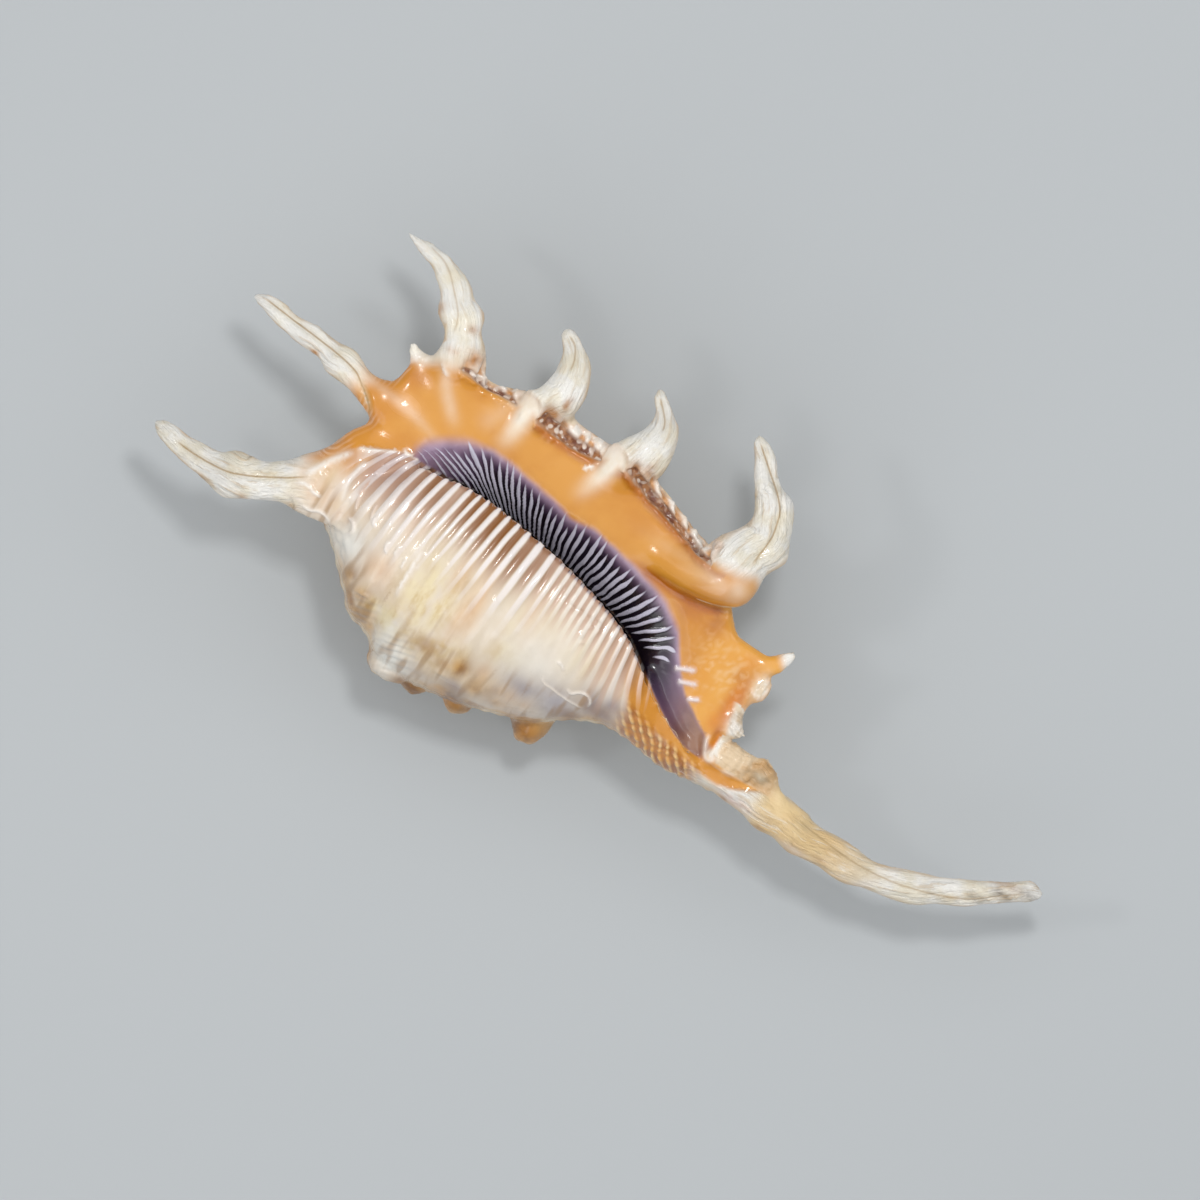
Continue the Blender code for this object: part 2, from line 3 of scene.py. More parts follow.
import bmesh
import bpy
import numpy as np
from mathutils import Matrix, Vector, noise
from mathutils.bvhtree import BVHTree


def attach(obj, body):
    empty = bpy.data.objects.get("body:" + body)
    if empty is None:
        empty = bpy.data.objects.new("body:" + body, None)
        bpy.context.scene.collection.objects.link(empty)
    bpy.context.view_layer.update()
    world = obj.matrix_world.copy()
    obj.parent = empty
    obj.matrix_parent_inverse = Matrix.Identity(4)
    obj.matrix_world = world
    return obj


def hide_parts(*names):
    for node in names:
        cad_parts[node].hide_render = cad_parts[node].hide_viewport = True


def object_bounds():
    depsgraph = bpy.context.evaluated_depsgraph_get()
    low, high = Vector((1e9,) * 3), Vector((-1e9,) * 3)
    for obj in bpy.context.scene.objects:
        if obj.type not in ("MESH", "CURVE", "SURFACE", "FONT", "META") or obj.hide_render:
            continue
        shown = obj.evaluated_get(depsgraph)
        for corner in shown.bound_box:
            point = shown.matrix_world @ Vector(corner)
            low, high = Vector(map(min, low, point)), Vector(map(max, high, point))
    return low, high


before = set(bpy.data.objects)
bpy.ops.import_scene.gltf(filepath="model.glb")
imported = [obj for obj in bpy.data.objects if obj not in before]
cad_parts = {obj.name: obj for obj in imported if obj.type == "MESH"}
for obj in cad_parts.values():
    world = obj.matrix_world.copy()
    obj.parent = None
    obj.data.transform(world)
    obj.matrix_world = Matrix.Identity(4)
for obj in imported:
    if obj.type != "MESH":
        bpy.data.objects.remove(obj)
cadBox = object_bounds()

# The shell lies aperture up: +X to the siphonal canal, +Y to the outer lip, +Z up. All the sizes here are millimetres.
mm = 0.001

body = {
    # x, then the lowest and highest y, then the lowest and highest z
    "sections": (
        (-55.0, -10.9, -9.3, 21.0, 23.0), (-53.0, -12.9, -7.3, 19.0, 26.2), (-51.0, -14.6, -5.4, 17.0, 29.5),
        (-48.0, -16.7, -3.0, 14.5, 33.0), (-45.5, -18.8, -0.8, 12.2, 35.2), (-43.0, -21.2, 1.6, 9.6, 36.8),
        (-40.3, -23.9, 4.5, 7.2, 38.0), (-38.0, -26.2, 6.8, 5.4, 38.8), (-34.5, -27.1, 9.0, 4.0, 39.4),
        (-31.0, -29.3, 10.6, 2.8, 39.8), (-26.0, -30.3, 11.5, 2.0, 40.0), (-20.0, -29.8, 11.6, 2.0, 40.0),
        (-14.0, -28.5, 10.9, 2.4, 39.4), (-8.0, -26.7, 9.3, 3.2, 38.4), (-3.0, -24.4, 7.2, 5.4, 37.2),
        (1.0, -21.7, 5.0, 8.6, 35.8), (5.0, -19.8, 2.5, 12.0, 34.0), (9.0, -19.5, -0.8, 14.8, 32.2),
        (13.0, -19.9, -4.5, 16.5, 30.6), (17.0, -20.5, -8.5, 17.5, 29.4), (21.0, -20.0, -11.5, 18.2, 28.4),
        (25.0, -19.3, -13.0, 18.8, 27.4), (30.0, -19.7, -13.2, 19.0, 26.4),
    ),
    "steps": 170,
    "sides": 72,
    "whorlGrowth": 1.55,  # each whorl of the spire is this much wider than the one before
    "sutureDepth": 0.085,  # as a share of the spire's width
    "keels": ((-30.8, 2.4, 0.9), (-15.6, 2.0, 0.5), (-5.0, 2.0, 0.55)),  # x, half width, height
    # x, degrees round the axis from straight up towards the lip, height, half length along x, half width
    "knobs": (
        (-28.4, 266, 2.2, 3.7, 4.2), (-23.5, 247, 3.2, 2.8, 3.6), (-31.0, 236, 3.2, 3.2, 4.0),
        (-31.2, 208, 6.0, 4.2, 5.4), (-30.6, 179, 1.9, 3.6, 4.6), (-28.2, 150, 5.8, 5.0, 6.6),
        (-16.0, 253, 2.9, 2.6, 3.4), (-16.4, 228, 2.2, 2.6, 3.4), (-16.4, 204, 1.9, 2.6, 3.4),
        (-15.8, 180, 1.7, 2.8, 3.6), (-14.0, 152, 2.6, 3.2, 4.2), (-4.0, 256, 4.8, 3.2, 3.6),
        (-5.2, 226, 2.6, 2.8, 3.4), (-6.2, 192, 5.0, 3.8, 4.8), (-8.6, 158, 5.4, 4.2, 5.4),
    ),
}

lip = {
    # inner x, y and outer x, y of a line across the lip, its face's height at both, margin thickness, root depth
    "sections": (
        (-47.0, -5.0, -54.3, -4.0, 34.0, 31.6, 2.2, 7), (-45.0, -2.5, -52.9, -0.9, 34.2, 31.6, 2.2, 8),
        (-43.0, -1.0, -51.4, 1.6, 34.2, 31.8, 2.2, 9), (-42.0, 0.5, -51.7, 5.6, 34.0, 32.4, 2.4, 9),
        (-41.0, 2.0, -51.1, 9.4, 34.0, 32.6, 2.2, 10), (-40.0, 3.0, -50.3, 13.0, 33.8, 32.8, 2.2, 11),
        (-38.5, 3.5, -46.6, 17.0, 33.6, 33.4, 2.6, 12), (-36.0, 4.0, -41.0, 17.6, 33.4, 33.6, 2.4, 14),
        (-33.0, 4.0, -37.5, 17.1, 33.3, 33.4, 2.2, 15), (-29.0, 4.0, -32.6, 18.8, 33.2, 33.5, 2.2, 16),
        (-25.0, 4.0, -26.6, 19.3, 33.2, 33.4, 2.4, 16), (-21.0, 3.5, -21.6, 18.9, 33.2, 33.2, 2.2, 16),
        (-16.0, 3.0, -16.6, 18.7, 33.0, 33.2, 2.2, 16), (-11.0, 2.5, -11.4, 18.5, 32.8, 33.2, 2.4, 16),
        (-6.0, 2.0, -6.0, 17.3, 32.6, 33.2, 2.2, 16), (-1.0, 1.0, 0.0, 15.0, 32.3, 33.2, 2.2, 14),
        (3.0, -0.5, 4.6, 13.6, 31.9, 33.0, 2.6, 13), (6.0, -2.5, 9.6, 11.6, 31.4, 32.4, 3.0, 12),
        (9.0, -4.5, 13.4, 7.0, 30.7, 31.2, 3.0, 11), (11.0, -6.5, 16.2, 4.0, 30.1, 30.2, 2.4, 9),
        (13.0, -8.5, 19.6, 3.6, 29.5, 29.6, 2.4, 8), (14.5, -10.0, 23.3, 2.8, 29.0, 29.0, 2.2, 7),
        (16.0, -11.3, 24.6, -1.4, 28.6, 28.2, 2.4, 7), (17.5, -12.4, 23.8, -5.4, 28.2, 27.8, 2.4, 6),
        (18.6, -13.4, 24.4, -9.2, 27.8, 27.6, 2.6, 6), (19.2, -14.4, 22.6, -11.8, 27.4, 27.4, 2.4, 5),
    ),
    "steps": 110,
    "bead": ((24.1, -1.6, 27.6), (1.65, 2.35, 1.8)),  # the round bead on the margin: its place and half sizes
    "curl": (
        (20.9, -10.4, 27.6), (21.2, -12.8, 27.5), (21.8, -14.4, 27.4), (23.0, -15.2, 27.2), (24.2, -14.9, 27.0),
        (24.6, -13.4, 26.8),
    ),
    "curlRadius": 0.85,
}

aperture = {
    # x, y at the columella's edge and at the lip's rim, the height of each, and how deep the slot is there
    "sections": (
        (-44.5, 0.1, 0.9, 35.4, 34.6, 0.6), (-41.0, 0.4, 3.6, 36.2, 34.2, 2.5), (-37.0, 0.6, 6.0, 36.8, 33.6, 7.0),
        (-33.0, 1.1, 7.9, 37.2, 33.4, 12.0), (-29.0, 1.2, 7.7, 37.4, 33.3, 15.5), (-24.0, 0.7, 7.0, 37.4, 33.3, 17.0),
        (-18.0, -0.2, 6.0, 37.4, 33.2, 17.5), (-12.0, -1.3, 5.9, 37.0, 33.0, 17.0),
        (-6.0, -2.7, 4.9, 36.6, 32.7, 15.0),
        (-1.0, -4.3, 3.8, 35.8, 32.3, 13.0), (3.0, -6.2, 2.5, 34.6, 31.9, 11.0), (7.0, -9.0, 0.6, 33.0, 31.2, 8.5),
        (10.0, -10.9, -2.4, 31.6, 30.4, 6.8), (13.0, -12.6, -5.6, 30.4, 29.6, 5.4),
        (16.0, -13.8, -8.8, 29.4, 28.8, 4.2),
        (19.0, -14.8, -11.8, 28.6, 28.0, 3.2), (21.5, -15.8, -14.0, 27.8, 27.2, 2.2),
    ),
    "steps": 60,
    # in plan, where the white ridges of the columella end, and where the violet ends on the lip
    "columellaEdge": (
        (-56, -6), (-50, -3), (-46, -0.8), (-44, 0.2), (-40, 0.4), (-36, 0.6), (-34, 1), (-30, 1.2), (-26, 0.9),
        (-22, 0.4), (-18, -0.2), (-14, -0.8), (-10, -1.7), (-6, -2.7), (-2, -3.9), (2, -5.6), (4, -6.9), (6, -8.3),
        (8, -9.6), (10, -11.1), (12, -12.4), (14, -13.6), (16, -14.7), (18, -15.4), (20, -15.8), (24, -16), (28, -16),
        (32, -15.3),
    ),
    "violetEdge": (
        (-44, 1.5), (-42, 3.6), (-39, 5.6), (-36, 7), (-32, 8.2), (-28, 7.7), (-24, 7.1), (-20, 6.5), (-16, 5.5),
        (-12, 6), (-8, 5.3), (-4, 4.5), (0, 3.5), (4, 2.2), (8, -0.8), (10, -3.5), (12, -6.3), (14, -8.4), (16, -9.9),
        (18, -11.2), (20, -12.3), (22, -13.6),
    ),
}

# Each digit, spur and the canal: both edges from root to tip, the height of its middle, thickness over width at the
# root and the tip. seam is the closed slit along it, and bare is where the orange glaze gives way to bare cream.
horns = {
    "posteriorDigit": {
        "left": (
            (-46, -3), (-51.6, -2.6), (-53.9, -4), (-55.2, -6.2), (-57, -7.9), (-58.2, -9.6), (-60, -11.2),
            (-62.5, -12.9), (-65, -13.1), (-67, -13.7), (-69, -15.1), (-72, -15.2), (-74.7, -15.7), (-77, -15.2),
            (-79, -15.4), (-80.1, -16.3),
        ),
        "right": (
            (-44, -14.5), (-50, -16), (-53, -16.5), (-56, -16.6), (-59, -17.8), (-61.5, -19.2), (-63.7, -20.6),
            (-65.3, -21), (-67, -20.6), (-69, -20), (-72, -19.8), (-75, -19.2), (-77.5, -18.6), (-79.3, -17.8),
            (-80.1, -16.8),
        ),
        "height": (30.5, 30.6, 31.6, 31.8, 31.0, 29.4, 27.2, 25.0),
        "thickness": (0.52, 0.86),
        "seam": (
            (-54, -10.4), (-57, -12.5), (-60, -14.2), (-63, -15.8), (-66, -17), (-69, -17.4), (-73, -17.5),
            (-76, -17.2),
        ),
        "bare": ((-48, -6), (-61, -13)),
    },
    "spireDigit": {
        "left": (
            (-42, 2.5), (-48, 2), (-51.6, 2.4), (-53.5, 3.2), (-56, 4.1), (-58.5, 4.6), (-61, 4.6), (-62.2, 5.2),
            (-63, 5.9), (-65.5, 6.1), (-68, 6.2), (-70, 6.7), (-72.5, 7), (-74.5, 7.7), (-76.3, 8), (-77.3, 8.7),
        ),
        "right": (
            (-42, 8.5), (-48, 8.6), (-51.5, 8.7), (-53.5, 8.3), (-55.3, 8.3), (-57, 9.1), (-59.5, 10), (-62, 9.6),
            (-64, 9.7), (-66, 10.2), (-68, 9.9), (-70, 9.7), (-72, 10.2), (-73.5, 10.5), (-75.5, 10.3), (-77, 9.8),
            (-77.4, 9.2),
        ),
        "height": (31.6, 31.4, 31.6, 31.9, 31.2, 29.9, 28.0, 25.8),
        "thickness": (0.62, 0.92),
        "seam": (
            (-50.6, 1.2), (-52, 2.8), (-53, 4), (-54, 4.9), (-55.5, 6), (-57, 7.1), (-59, 7.7), (-62, 8.2),
            (-66, 8.6), (-72, 9.2), (-76, 9.5),
        ),
        "bare": ((-51.5, 6), (-57, 7)),
    },
    "shoulderDigit": {
        "left": (
            (-43, 8), (-46.6, 13), (-48, 16.5), (-47.7, 18.3), (-48.3, 19.7), (-49.2, 20.9), (-50.6, 21.6),
            (-51.5, 22.6), (-52, 24.2), (-53, 25.5), (-54.4, 26.5), (-56, 28), (-58, 28.4), (-59.7, 29.1),
            (-61.9, 30.2),
        ),
        "right": (
            (-37, 9), (-38.6, 14), (-39.6, 17.3), (-40.6, 19.4), (-42, 21.4), (-43.8, 22.9), (-44.1, 24.5),
            (-45.1, 25.9), (-47.3, 26.8), (-48.7, 28.2), (-50.3, 29.2), (-52.5, 29.9), (-55, 30.7), (-58, 30.9),
            (-60.5, 30.8), (-61.9, 30.7),
        ),
        "height": (31.4, 31.9, 32.6, 33.4, 33.2, 32.0, 30.0, 27.4),
        "thickness": (0.6, 0.85),
        "seam": (
            (-47, 20), (-48, 23), (-49.5, 25), (-51, 26.5), (-53, 28.5), (-55, 29.7), (-58, 30.5),
        ),
        "bare": ((-43, 12.5), (-45.5, 18)),
    },
    "upperLipDigit": {
        "left": (
            (-33.4, 9), (-33, 14), (-32.4, 18.6), (-31.1, 20.2), (-30.7, 21.5), (-30.3, 23.5), (-30.4, 25.5),
            (-30.9, 27.3), (-31.8, 28.4), (-32.5, 29), (-32.5, 29.9),
        ),
        "right": (
            (-27.6, 9), (-26.4, 14), (-24.9, 18.5), (-24.3, 19.8), (-24, 21.5), (-24.1, 23), (-24.8, 25.2),
            (-26, 27.5), (-27.5, 28.9), (-29, 29.8), (-30.3, 30.6), (-31.5, 31.1), (-32.3, 30.5),
        ),
        "height": (31.0, 31.7, 33.0, 34.0, 34.4, 34.0, 32.8, 31.0),
        "thickness": (0.62, 0.92),
        "seam": ((-28.4, 25), (-28.6, 26.4), (-29, 27.6), (-30, 29.2), (-31.5, 30)),
        "bare": ((-30.2, 12), (-29, 17.5)),
    },
    "middleLipDigit": {
        "left": (
            (-17.8, 9), (-17.3, 14), (-16.6, 18), (-15.8, 19.8), (-14.8, 21.6), (-13.6, 23.4), (-13.1, 25.3),
            (-13.3, 26.8), (-14.2, 27.9), (-15, 28.9), (-14.9, 29.6),
        ),
        "right": (
            (-11.8, 9), (-10, 14), (-8.3, 17), (-7.5, 19), (-7.3, 21), (-7.6, 23), (-8.1, 25), (-9, 26.6),
            (-10.2, 27.6), (-11.6, 28.7), (-12.8, 29.5), (-13.8, 30.3), (-14.6, 30.2),
        ),
        "height": (30.8, 31.5, 33.0, 34.2, 34.6, 34.2, 33.0, 31.2),
        "thickness": (0.62, 0.92),
        "seam": ((-10.9, 24.6), (-11.1, 25.7), (-11.6, 26.7), (-12.8, 28), (-14, 29.2)),
        "bare": ((-15, 12), (-13, 17.5)),
    },
    "lowerLipDigit": {
        "left": (
            (-7, 10), (0, 11), (4, 12.2), (5.2, 14.6), (6, 16.2), (7.2, 17.8), (8.3, 19.5), (8.6, 20.9), (8, 22.4),
            (6.5, 24.8), (5, 27.1), (4, 29), (2.9, 30.4), (2.2, 31.7),
        ),
        "right": (
            (-7, 6.4), (0, 5.4), (5, 4.9), (9, 5.5), (12, 6.4), (14.2, 8), (15.1, 10), (15.1, 12.5), (14.9, 14),
            (15.6, 15.6), (16.6, 17.3), (16.4, 19), (15.3, 21.2), (14.3, 23.6), (13.2, 25.6), (12.4, 26.6),
            (11.2, 27), (9.8, 27.3), (8.2, 28.8), (6.6, 31), (5.3, 31.8), (3.6, 32.6), (2.6, 32.4),
        ),
        "height": (30.8, 32.6, 33.6, 34.6, 35.0, 35.0, 34.2, 32.8, 31.0, 29.2),
        "thickness": (0.6, 0.9),
        "seam": (
            (12.2, 13.4), (12.6, 17.5), (12.7, 20), (12.3, 22), (11.7, 24), (10.5, 25.5), (9, 27), (7, 28.6),
            (5, 30.2), (3, 31.8),
        ),
        "bare": ((10.6, 9), (10.2, 13.5)),
    },
    "siphonalCanal": {
        "left": (
            (20, -12.5), (26, -13.2), (31, -13.6), (34, -13.6), (36, -13.9), (38, -14), (40, -14.3), (41.4, -14.5),
            (42.5, -15.2), (45, -15.2), (48, -15), (51, -15.1), (54, -15.4), (56.5, -14.8), (59, -13.9),
            (62, -12.8), (64, -12.1), (66, -11), (68.5, -9.7), (71, -8.5), (73.5, -7.2), (75.3, -6.1),
            (76.3, -5.2), (77.6, -4.6), (78.7, -4.8), (79.6, -5.6),
        ),
        "right": (
            (20, -20), (26, -19.3), (29, -19.7), (32, -19.8), (34.5, -20.8), (36.5, -20.7), (38.5, -20.4),
            (41.5, -21.2), (44, -20.9), (47, -20.5), (50, -20.8), (52.5, -20.5), (55, -19.6), (58, -19.2),
            (62, -18.3), (64.2, -17.2), (66, -15.8), (68.5, -14.6), (71, -13.3), (72.5, -11.9), (74.5, -10.5),
            (77, -8.7), (78.8, -7.5), (79.9, -6.2),
        ),
        "height": (23.0, 22.8, 22.4, 21.6, 20.6, 19.6, 18.8, 18.2),
        "thickness": (0.98, 0.92),
        "seam": (
            (33.6, -15), (37, -15.4), (41, -16), (45, -16.5), (49, -16.9), (53, -17), (58, -16.5), (61, -15.8),
            (64, -15), (67, -13.9), (70, -12.5), (74, -9.5), (78, -6.5),
        ),
        "bare": ((22, -17), (23, -17)),
    },
    "canalFrill": {
        "left": (
            (22.6, -11.4), (25, -11.1), (27, -11.2), (29, -11.2), (30.2, -10.8), (31.2, -10.5), (32.2, -11.1),
            (33.1, -11.4), (34.2, -12.4), (35.2, -13.2), (37, -14.2),
        ),
        "right": (
            (23.4, -15.2), (25, -15.2), (27, -15.3), (29, -14.8), (30.5, -14.2), (32, -14.4), (34, -14.8),
            (37, -15.8),
        ),
        "height": (25.6, 25.8, 25.8, 25.4, 24.0),
        "thickness": (0.75, 0.6),
    },
    "spireSpur": {
        "left": ((-49, 10.5), (-50.4, 13), (-51.6, 14.2), (-51.9, 15.1)),
        "right": ((-46.5, 13), (-48.8, 15.3), (-50.2, 15.5), (-51.2, 16), (-51.8, 15.6)),
        "height": (31.8, 32.2, 32.6),
        "thickness": (0.6, 0.9),
    },
    "notchSpur": {
        "left": ((20, -2), (23, 0.3), (24.4, 1.4), (25.4, 2.6), (25.8, 4.2), (25.9, 5.3)),
        "right": ((19, 2.5), (21.5, 3.2), (23, 4), (24.3, 5.4), (25.4, 5.9)),
        "height": (28.0, 28.4, 29.0),
        "thickness": (0.55, 0.9),
    },
    "notchTooth": {
        "left": ((20, -12), (22, -11.2), (23.6, -10.7), (25, -9.8)),
        "right": ((20, -6), (22.5, -6.2), (23.9, -6.8), (24.7, -8.2), (25.2, -9.2)),
        "height": (26.6, 27.2, 27.6),
        "thickness": (0.5, 0.8),
    },
}

canalTrough = {
    "left": (
        (14, -10.8), (18, -12.4), (21.5, -14.9), (24, -15.8), (27, -15.7), (30, -14.9), (32.5, -14.3), (35, -14.2),
    ),
    "right": (
        (14, -13.4), (18, -14.8), (21.5, -16.7), (24, -17.8), (27, -17.9), (30, -17.6), (32.5, -16.3),
        (35, -14.8),
    ),
    "height": (29.4, 28.4, 27.6, 27.2, 26.6),
    "thickness": (1.2, 1.2),
}

skin = {
    "voxel": 0.575,  # the distance between the points of the one skin
    "kept": 0.70,  # of the faces, once the underside is thinned
    # how often the points are drawn to the middle of their neighbours: everywhere, on the glaze, where the lowest
    # digit runs out and on the slot's wall
    "blendRounds": 7,
    "glazeRounds": 40,
    "runOutRounds": 120,
    "wallRounds": 30,
    "edgeAllowance": 0.22,  # drawn outside each outline, for the smoothing to take away again
}


def smoothLine(points, count):
    # evenly spaced points on a Catmull-Rom curve
    points = np.array(points, float)
    ends = np.vstack([2 * points[0] - points[1], points, 2 * points[-1] - points[-2]])
    t = np.linspace(0, 1, 16, endpoint=False)[:, None]
    fine = []
    for before, start, stop, after in zip(ends, ends[1:], ends[2:], ends[3:]):
        pull = 2 * before - 5 * start + 4 * stop - after
        turn = 3 * start - before - 3 * stop + after
        fine.append(0.5 * (2 * start + (stop - before) * t + pull * t**2 + turn * t**3))
    fine = np.vstack(fine + [points[-1:]])
    run = np.concatenate([[0], np.cumsum(np.linalg.norm(np.diff(fine, axis=0), axis=1))])
    wanted = np.linspace(0, run[-1], count)
    return np.column_stack([np.interp(wanted, run, column) for column in fine.T])


def lookUp(table, where, column=1):
    table = np.array(table, float)
    return np.interp(where, table[:, 0], table[:, column])


def ease(value, low, high):
    # 0 below low, 1 above high, and smooth between
    share = np.clip((value - low) / (high - low), 0, 1)
    return share * share * (3 - 2 * share)


def bump(value, width):
    return np.exp(-((value / width) ** 2))


def speckle(points, size, seed=0.0):
    # smooth noise from -1 to 1 whose lumps are about size millimetres
    offset = Vector((seed, seed * 1.7, -seed))
    return np.array([noise.noise(Vector(point) / size + offset) for point in points])


def loft(name, rings):
    # a grid wrapped round into a tube through the rings, with both ends closed
    rings = np.array(rings) * mm
    count, sides, _ = rings.shape
    shape = bmesh.new()
    bmesh.ops.create_grid(shape, x_segments=sides, y_segments=count - 1, size=1)
    for index, vert in enumerate(shape.verts):
        row, column = divmod(index, sides + 1)
        vert.co = rings[row][column % sides]
    bmesh.ops.remove_doubles(shape, verts=shape.verts, dist=1e-7)
    bmesh.ops.holes_fill(shape, edges=[edge for edge in shape.edges if edge.is_boundary], sides=0)
    bmesh.ops.triangulate(shape, faces=[face for face in shape.faces if len(face.verts) > 4])
    bmesh.ops.recalc_face_normals(shape, faces=shape.faces)
    mesh = bpy.data.meshes.new(name)
    shape.to_mesh(mesh)
    shape.free()
    piece = bpy.data.objects.new(name, mesh)
    bpy.context.scene.collection.objects.link(piece)
    return piece


bodyTable = smoothLine(body["sections"], 240)


def whorlAt(x):
    # the middle and the half sizes of the body whorl at x, in y and in z
    lowY, highY, lowZ, highZ = (np.interp(x, bodyTable[:, 0], bodyTable[:, k]) for k in range(1, 5))
    return (lowY + highY) / 2, (lowZ + highZ) / 2, (highY - lowY) / 2, (highZ - lowZ) / 2


def whorlRelief(x, angle, radius, shoulder):
    back = min(1.0, max(0.0, 0.3 - math.cos(angle)))
    keels = sum(high * math.exp(-(((x - place) / half) ** 2)) for place, half, high in body["keels"]) * back / radius
    if x > -35:
        return keels
    turn = math.log(radius / shoulder) / math.log(body["whorlGrowth"]) + angle / (2 * math.pi)
    step = turn - math.floor(turn)
    fade = min(1.0, (-35 - x) / 3) * back
    return keels - fade * body["sutureDepth"] * math.exp(-((min(step, 1 - step) / 0.13) ** 2))


def makeBody():
    angles = np.linspace(0, 2 * math.pi, body["sides"], endpoint=False)
    shoulder = whorlAt(-31)[2]
    rings = []
    for x in smoothLine(body["sections"], body["steps"])[:, 0]:
        midY, midZ, halfY, halfZ = whorlAt(x)
        ring = []
        for a in angles:
            share = 1 + whorlRelief(x, a, halfY, shoulder)
            ring.append((x, midY + halfY * share * math.sin(a), midZ + halfZ * share * math.cos(a)))
        rings.append(ring)
    return loft("body", rings)


def makeLip():
    rings = []
    for inX, inY, outX, outY, inZ, outZ, margin, root in smoothLine(lip["sections"], lip["steps"]):
        width = math.hypot(outX - inX, outY - inY)
        along = np.array([outX - inX, outY - inY]) / width
        width += skin["edgeAllowance"]
        rise = outZ - inZ
        face = (
            (-5.0, inZ - 4.0),
            (0.0, inZ - 0.2),
            (0.35 * width, inZ + 0.4 * rise + 0.2),
            (0.7 * width, inZ + 0.8 * rise + 0.3),
            (width - 1.2, outZ + 0.2),
            (width - 0.2, outZ - 0.25 * margin),
            (width, outZ - 0.5 * margin),
            (width - 0.3, outZ - 0.8 * margin),
            (width - 1.4, outZ - margin),
            (0.75 * width, outZ - margin - 0.12 * root),
            (0.5 * width, outZ - margin - 0.32 * root),
            (0.22 * width, outZ - margin - 0.65 * root),
            (-1.0, outZ - margin - root),
            (-5.0, outZ - margin - root),
        )
        rings.append([(inX + along[0] * s, inY + along[1] * s, z) for s, z in face])
    return loft("lip", rings)


def hornStations(horn, steps):
    # the two edges as evenly spaced points, with the tip drawn out a little
    left, right = (np.array(horn[side], float) for side in ("left", "right"))
    tip = (left[-1] + right[-1] - left[-3] - right[-3]) / 2
    reach = 3 * skin["edgeAllowance"] * tip / np.linalg.norm(tip)
    return [smoothLine(np.vstack([edge[:-1], edge[-1:] + reach]), steps) for edge in (left, right)]


def makeHorn(name, horn, steps=90, sides=28):
    left, right = hornStations(horn, steps)
    height = smoothLine([(i, z) for i, z in enumerate(horn["height"])], steps)[:, 1]
    thickness = np.interp(np.linspace(0, 1, steps), (0, 1), horn["thickness"])
    angles = np.linspace(0, 2 * math.pi, sides, endpoint=False)
    rings = []
    for a, b, z, ratio in zip(left, right, height, thickness):
        middle, half = (a + b) / 2, (b - a) / 2
        half *= 1 + skin["edgeAllowance"] / max(np.linalg.norm(half), 0.25)
        depth = max(np.linalg.norm(half), 0.25) * ratio
        rings.append([(*(middle + half * math.cos(t)), z + depth * math.sin(t)) for t in angles])
    return loft(name, rings)


def makeSlotCutter():
    rings = []
    for x, inY, rimY, inZ, rimZ, depth in smoothLine(aperture["sections"], aperture["steps"]):
        gap = rimY - inY
        hollow = min(1.0, depth / 15)
        outline = (
            (inY + 0.3, inZ + 6),
            (rimY + 4.0 * hollow, rimZ + 6),
            (rimY + 3.0 * hollow, rimZ + 0.4),
            (rimY + 1.2 * hollow, rimZ - 0.05),
            (rimY - 0.05 * gap, rimZ - 0.5 * hollow - 0.1),
            (rimY - 0.30 * gap, rimZ - 0.10 * depth - 0.4),
            (rimY - 0.65 * gap, rimZ - 0.22 * depth - 0.4),
            (inY + 0.2, rimZ - 0.38 * depth - 0.5),
            (inY - 2.2 * hollow, rimZ - 0.66 * depth),
            (inY - 6.5 * hollow, rimZ - depth),
            (inY - 11.0 * hollow, rimZ - 0.98 * depth),
            (inY - 11.5 * hollow, rimZ - 0.66 * depth),
            (inY - 6.0 * hollow, rimZ - 0.38 * depth),
            (inY - 2.0 * hollow - 0.2, min(rimZ - 0.10 * depth, inZ - 2.6 * hollow - 0.2)),
            (inY - 0.3, inZ - 0.9),
        )
        rings.append([(x, y, z) for y, z in outline])
    return loft("slotCutter", rings)


def makeLump(name, place, radii, tilt=0.0):
    shape = bmesh.new()
    bmesh.ops.create_uvsphere(shape, u_segments=32, v_segments=20, radius=1.0)
    mesh = bpy.data.meshes.new(name)
    shape.to_mesh(mesh)
    shape.free()
    lump = bpy.data.objects.new(name, mesh)
    lump.location = [value * mm for value in place]
    lump.rotation_euler = (tilt, 0, 0)
    lump.scale = [value * mm for value in radii]
    bpy.context.scene.collection.objects.link(lump)
    return lump


def makeKnob(index, x, degrees, height, halfLength, halfWidth):
    angle = math.radians(degrees)
    midY, midZ, halfY, halfZ = whorlAt(x)
    place = (x, midY + halfY * math.sin(angle), midZ + halfZ * math.cos(angle))
    return makeLump(f"knob{index}", place, (halfLength, halfWidth, height), -angle)


def makeCurl():
    points = smoothLine(lip["curl"], 24)
    rings = []
    for index, point in enumerate(points):
        ahead = points[min(index + 1, 23)] - points[max(index - 1, 0)]
        across = np.array([ahead[1], -ahead[0], 0]) / np.hypot(ahead[0], ahead[1])
        size = lip["curlRadius"]
        angles = np.linspace(0, 2 * math.pi, 16, endpoint=False)
        rings.append([point + size * (across * math.cos(t) + np.array([0, 0, math.sin(t)])) for t in angles])
    return loft("curl", rings)


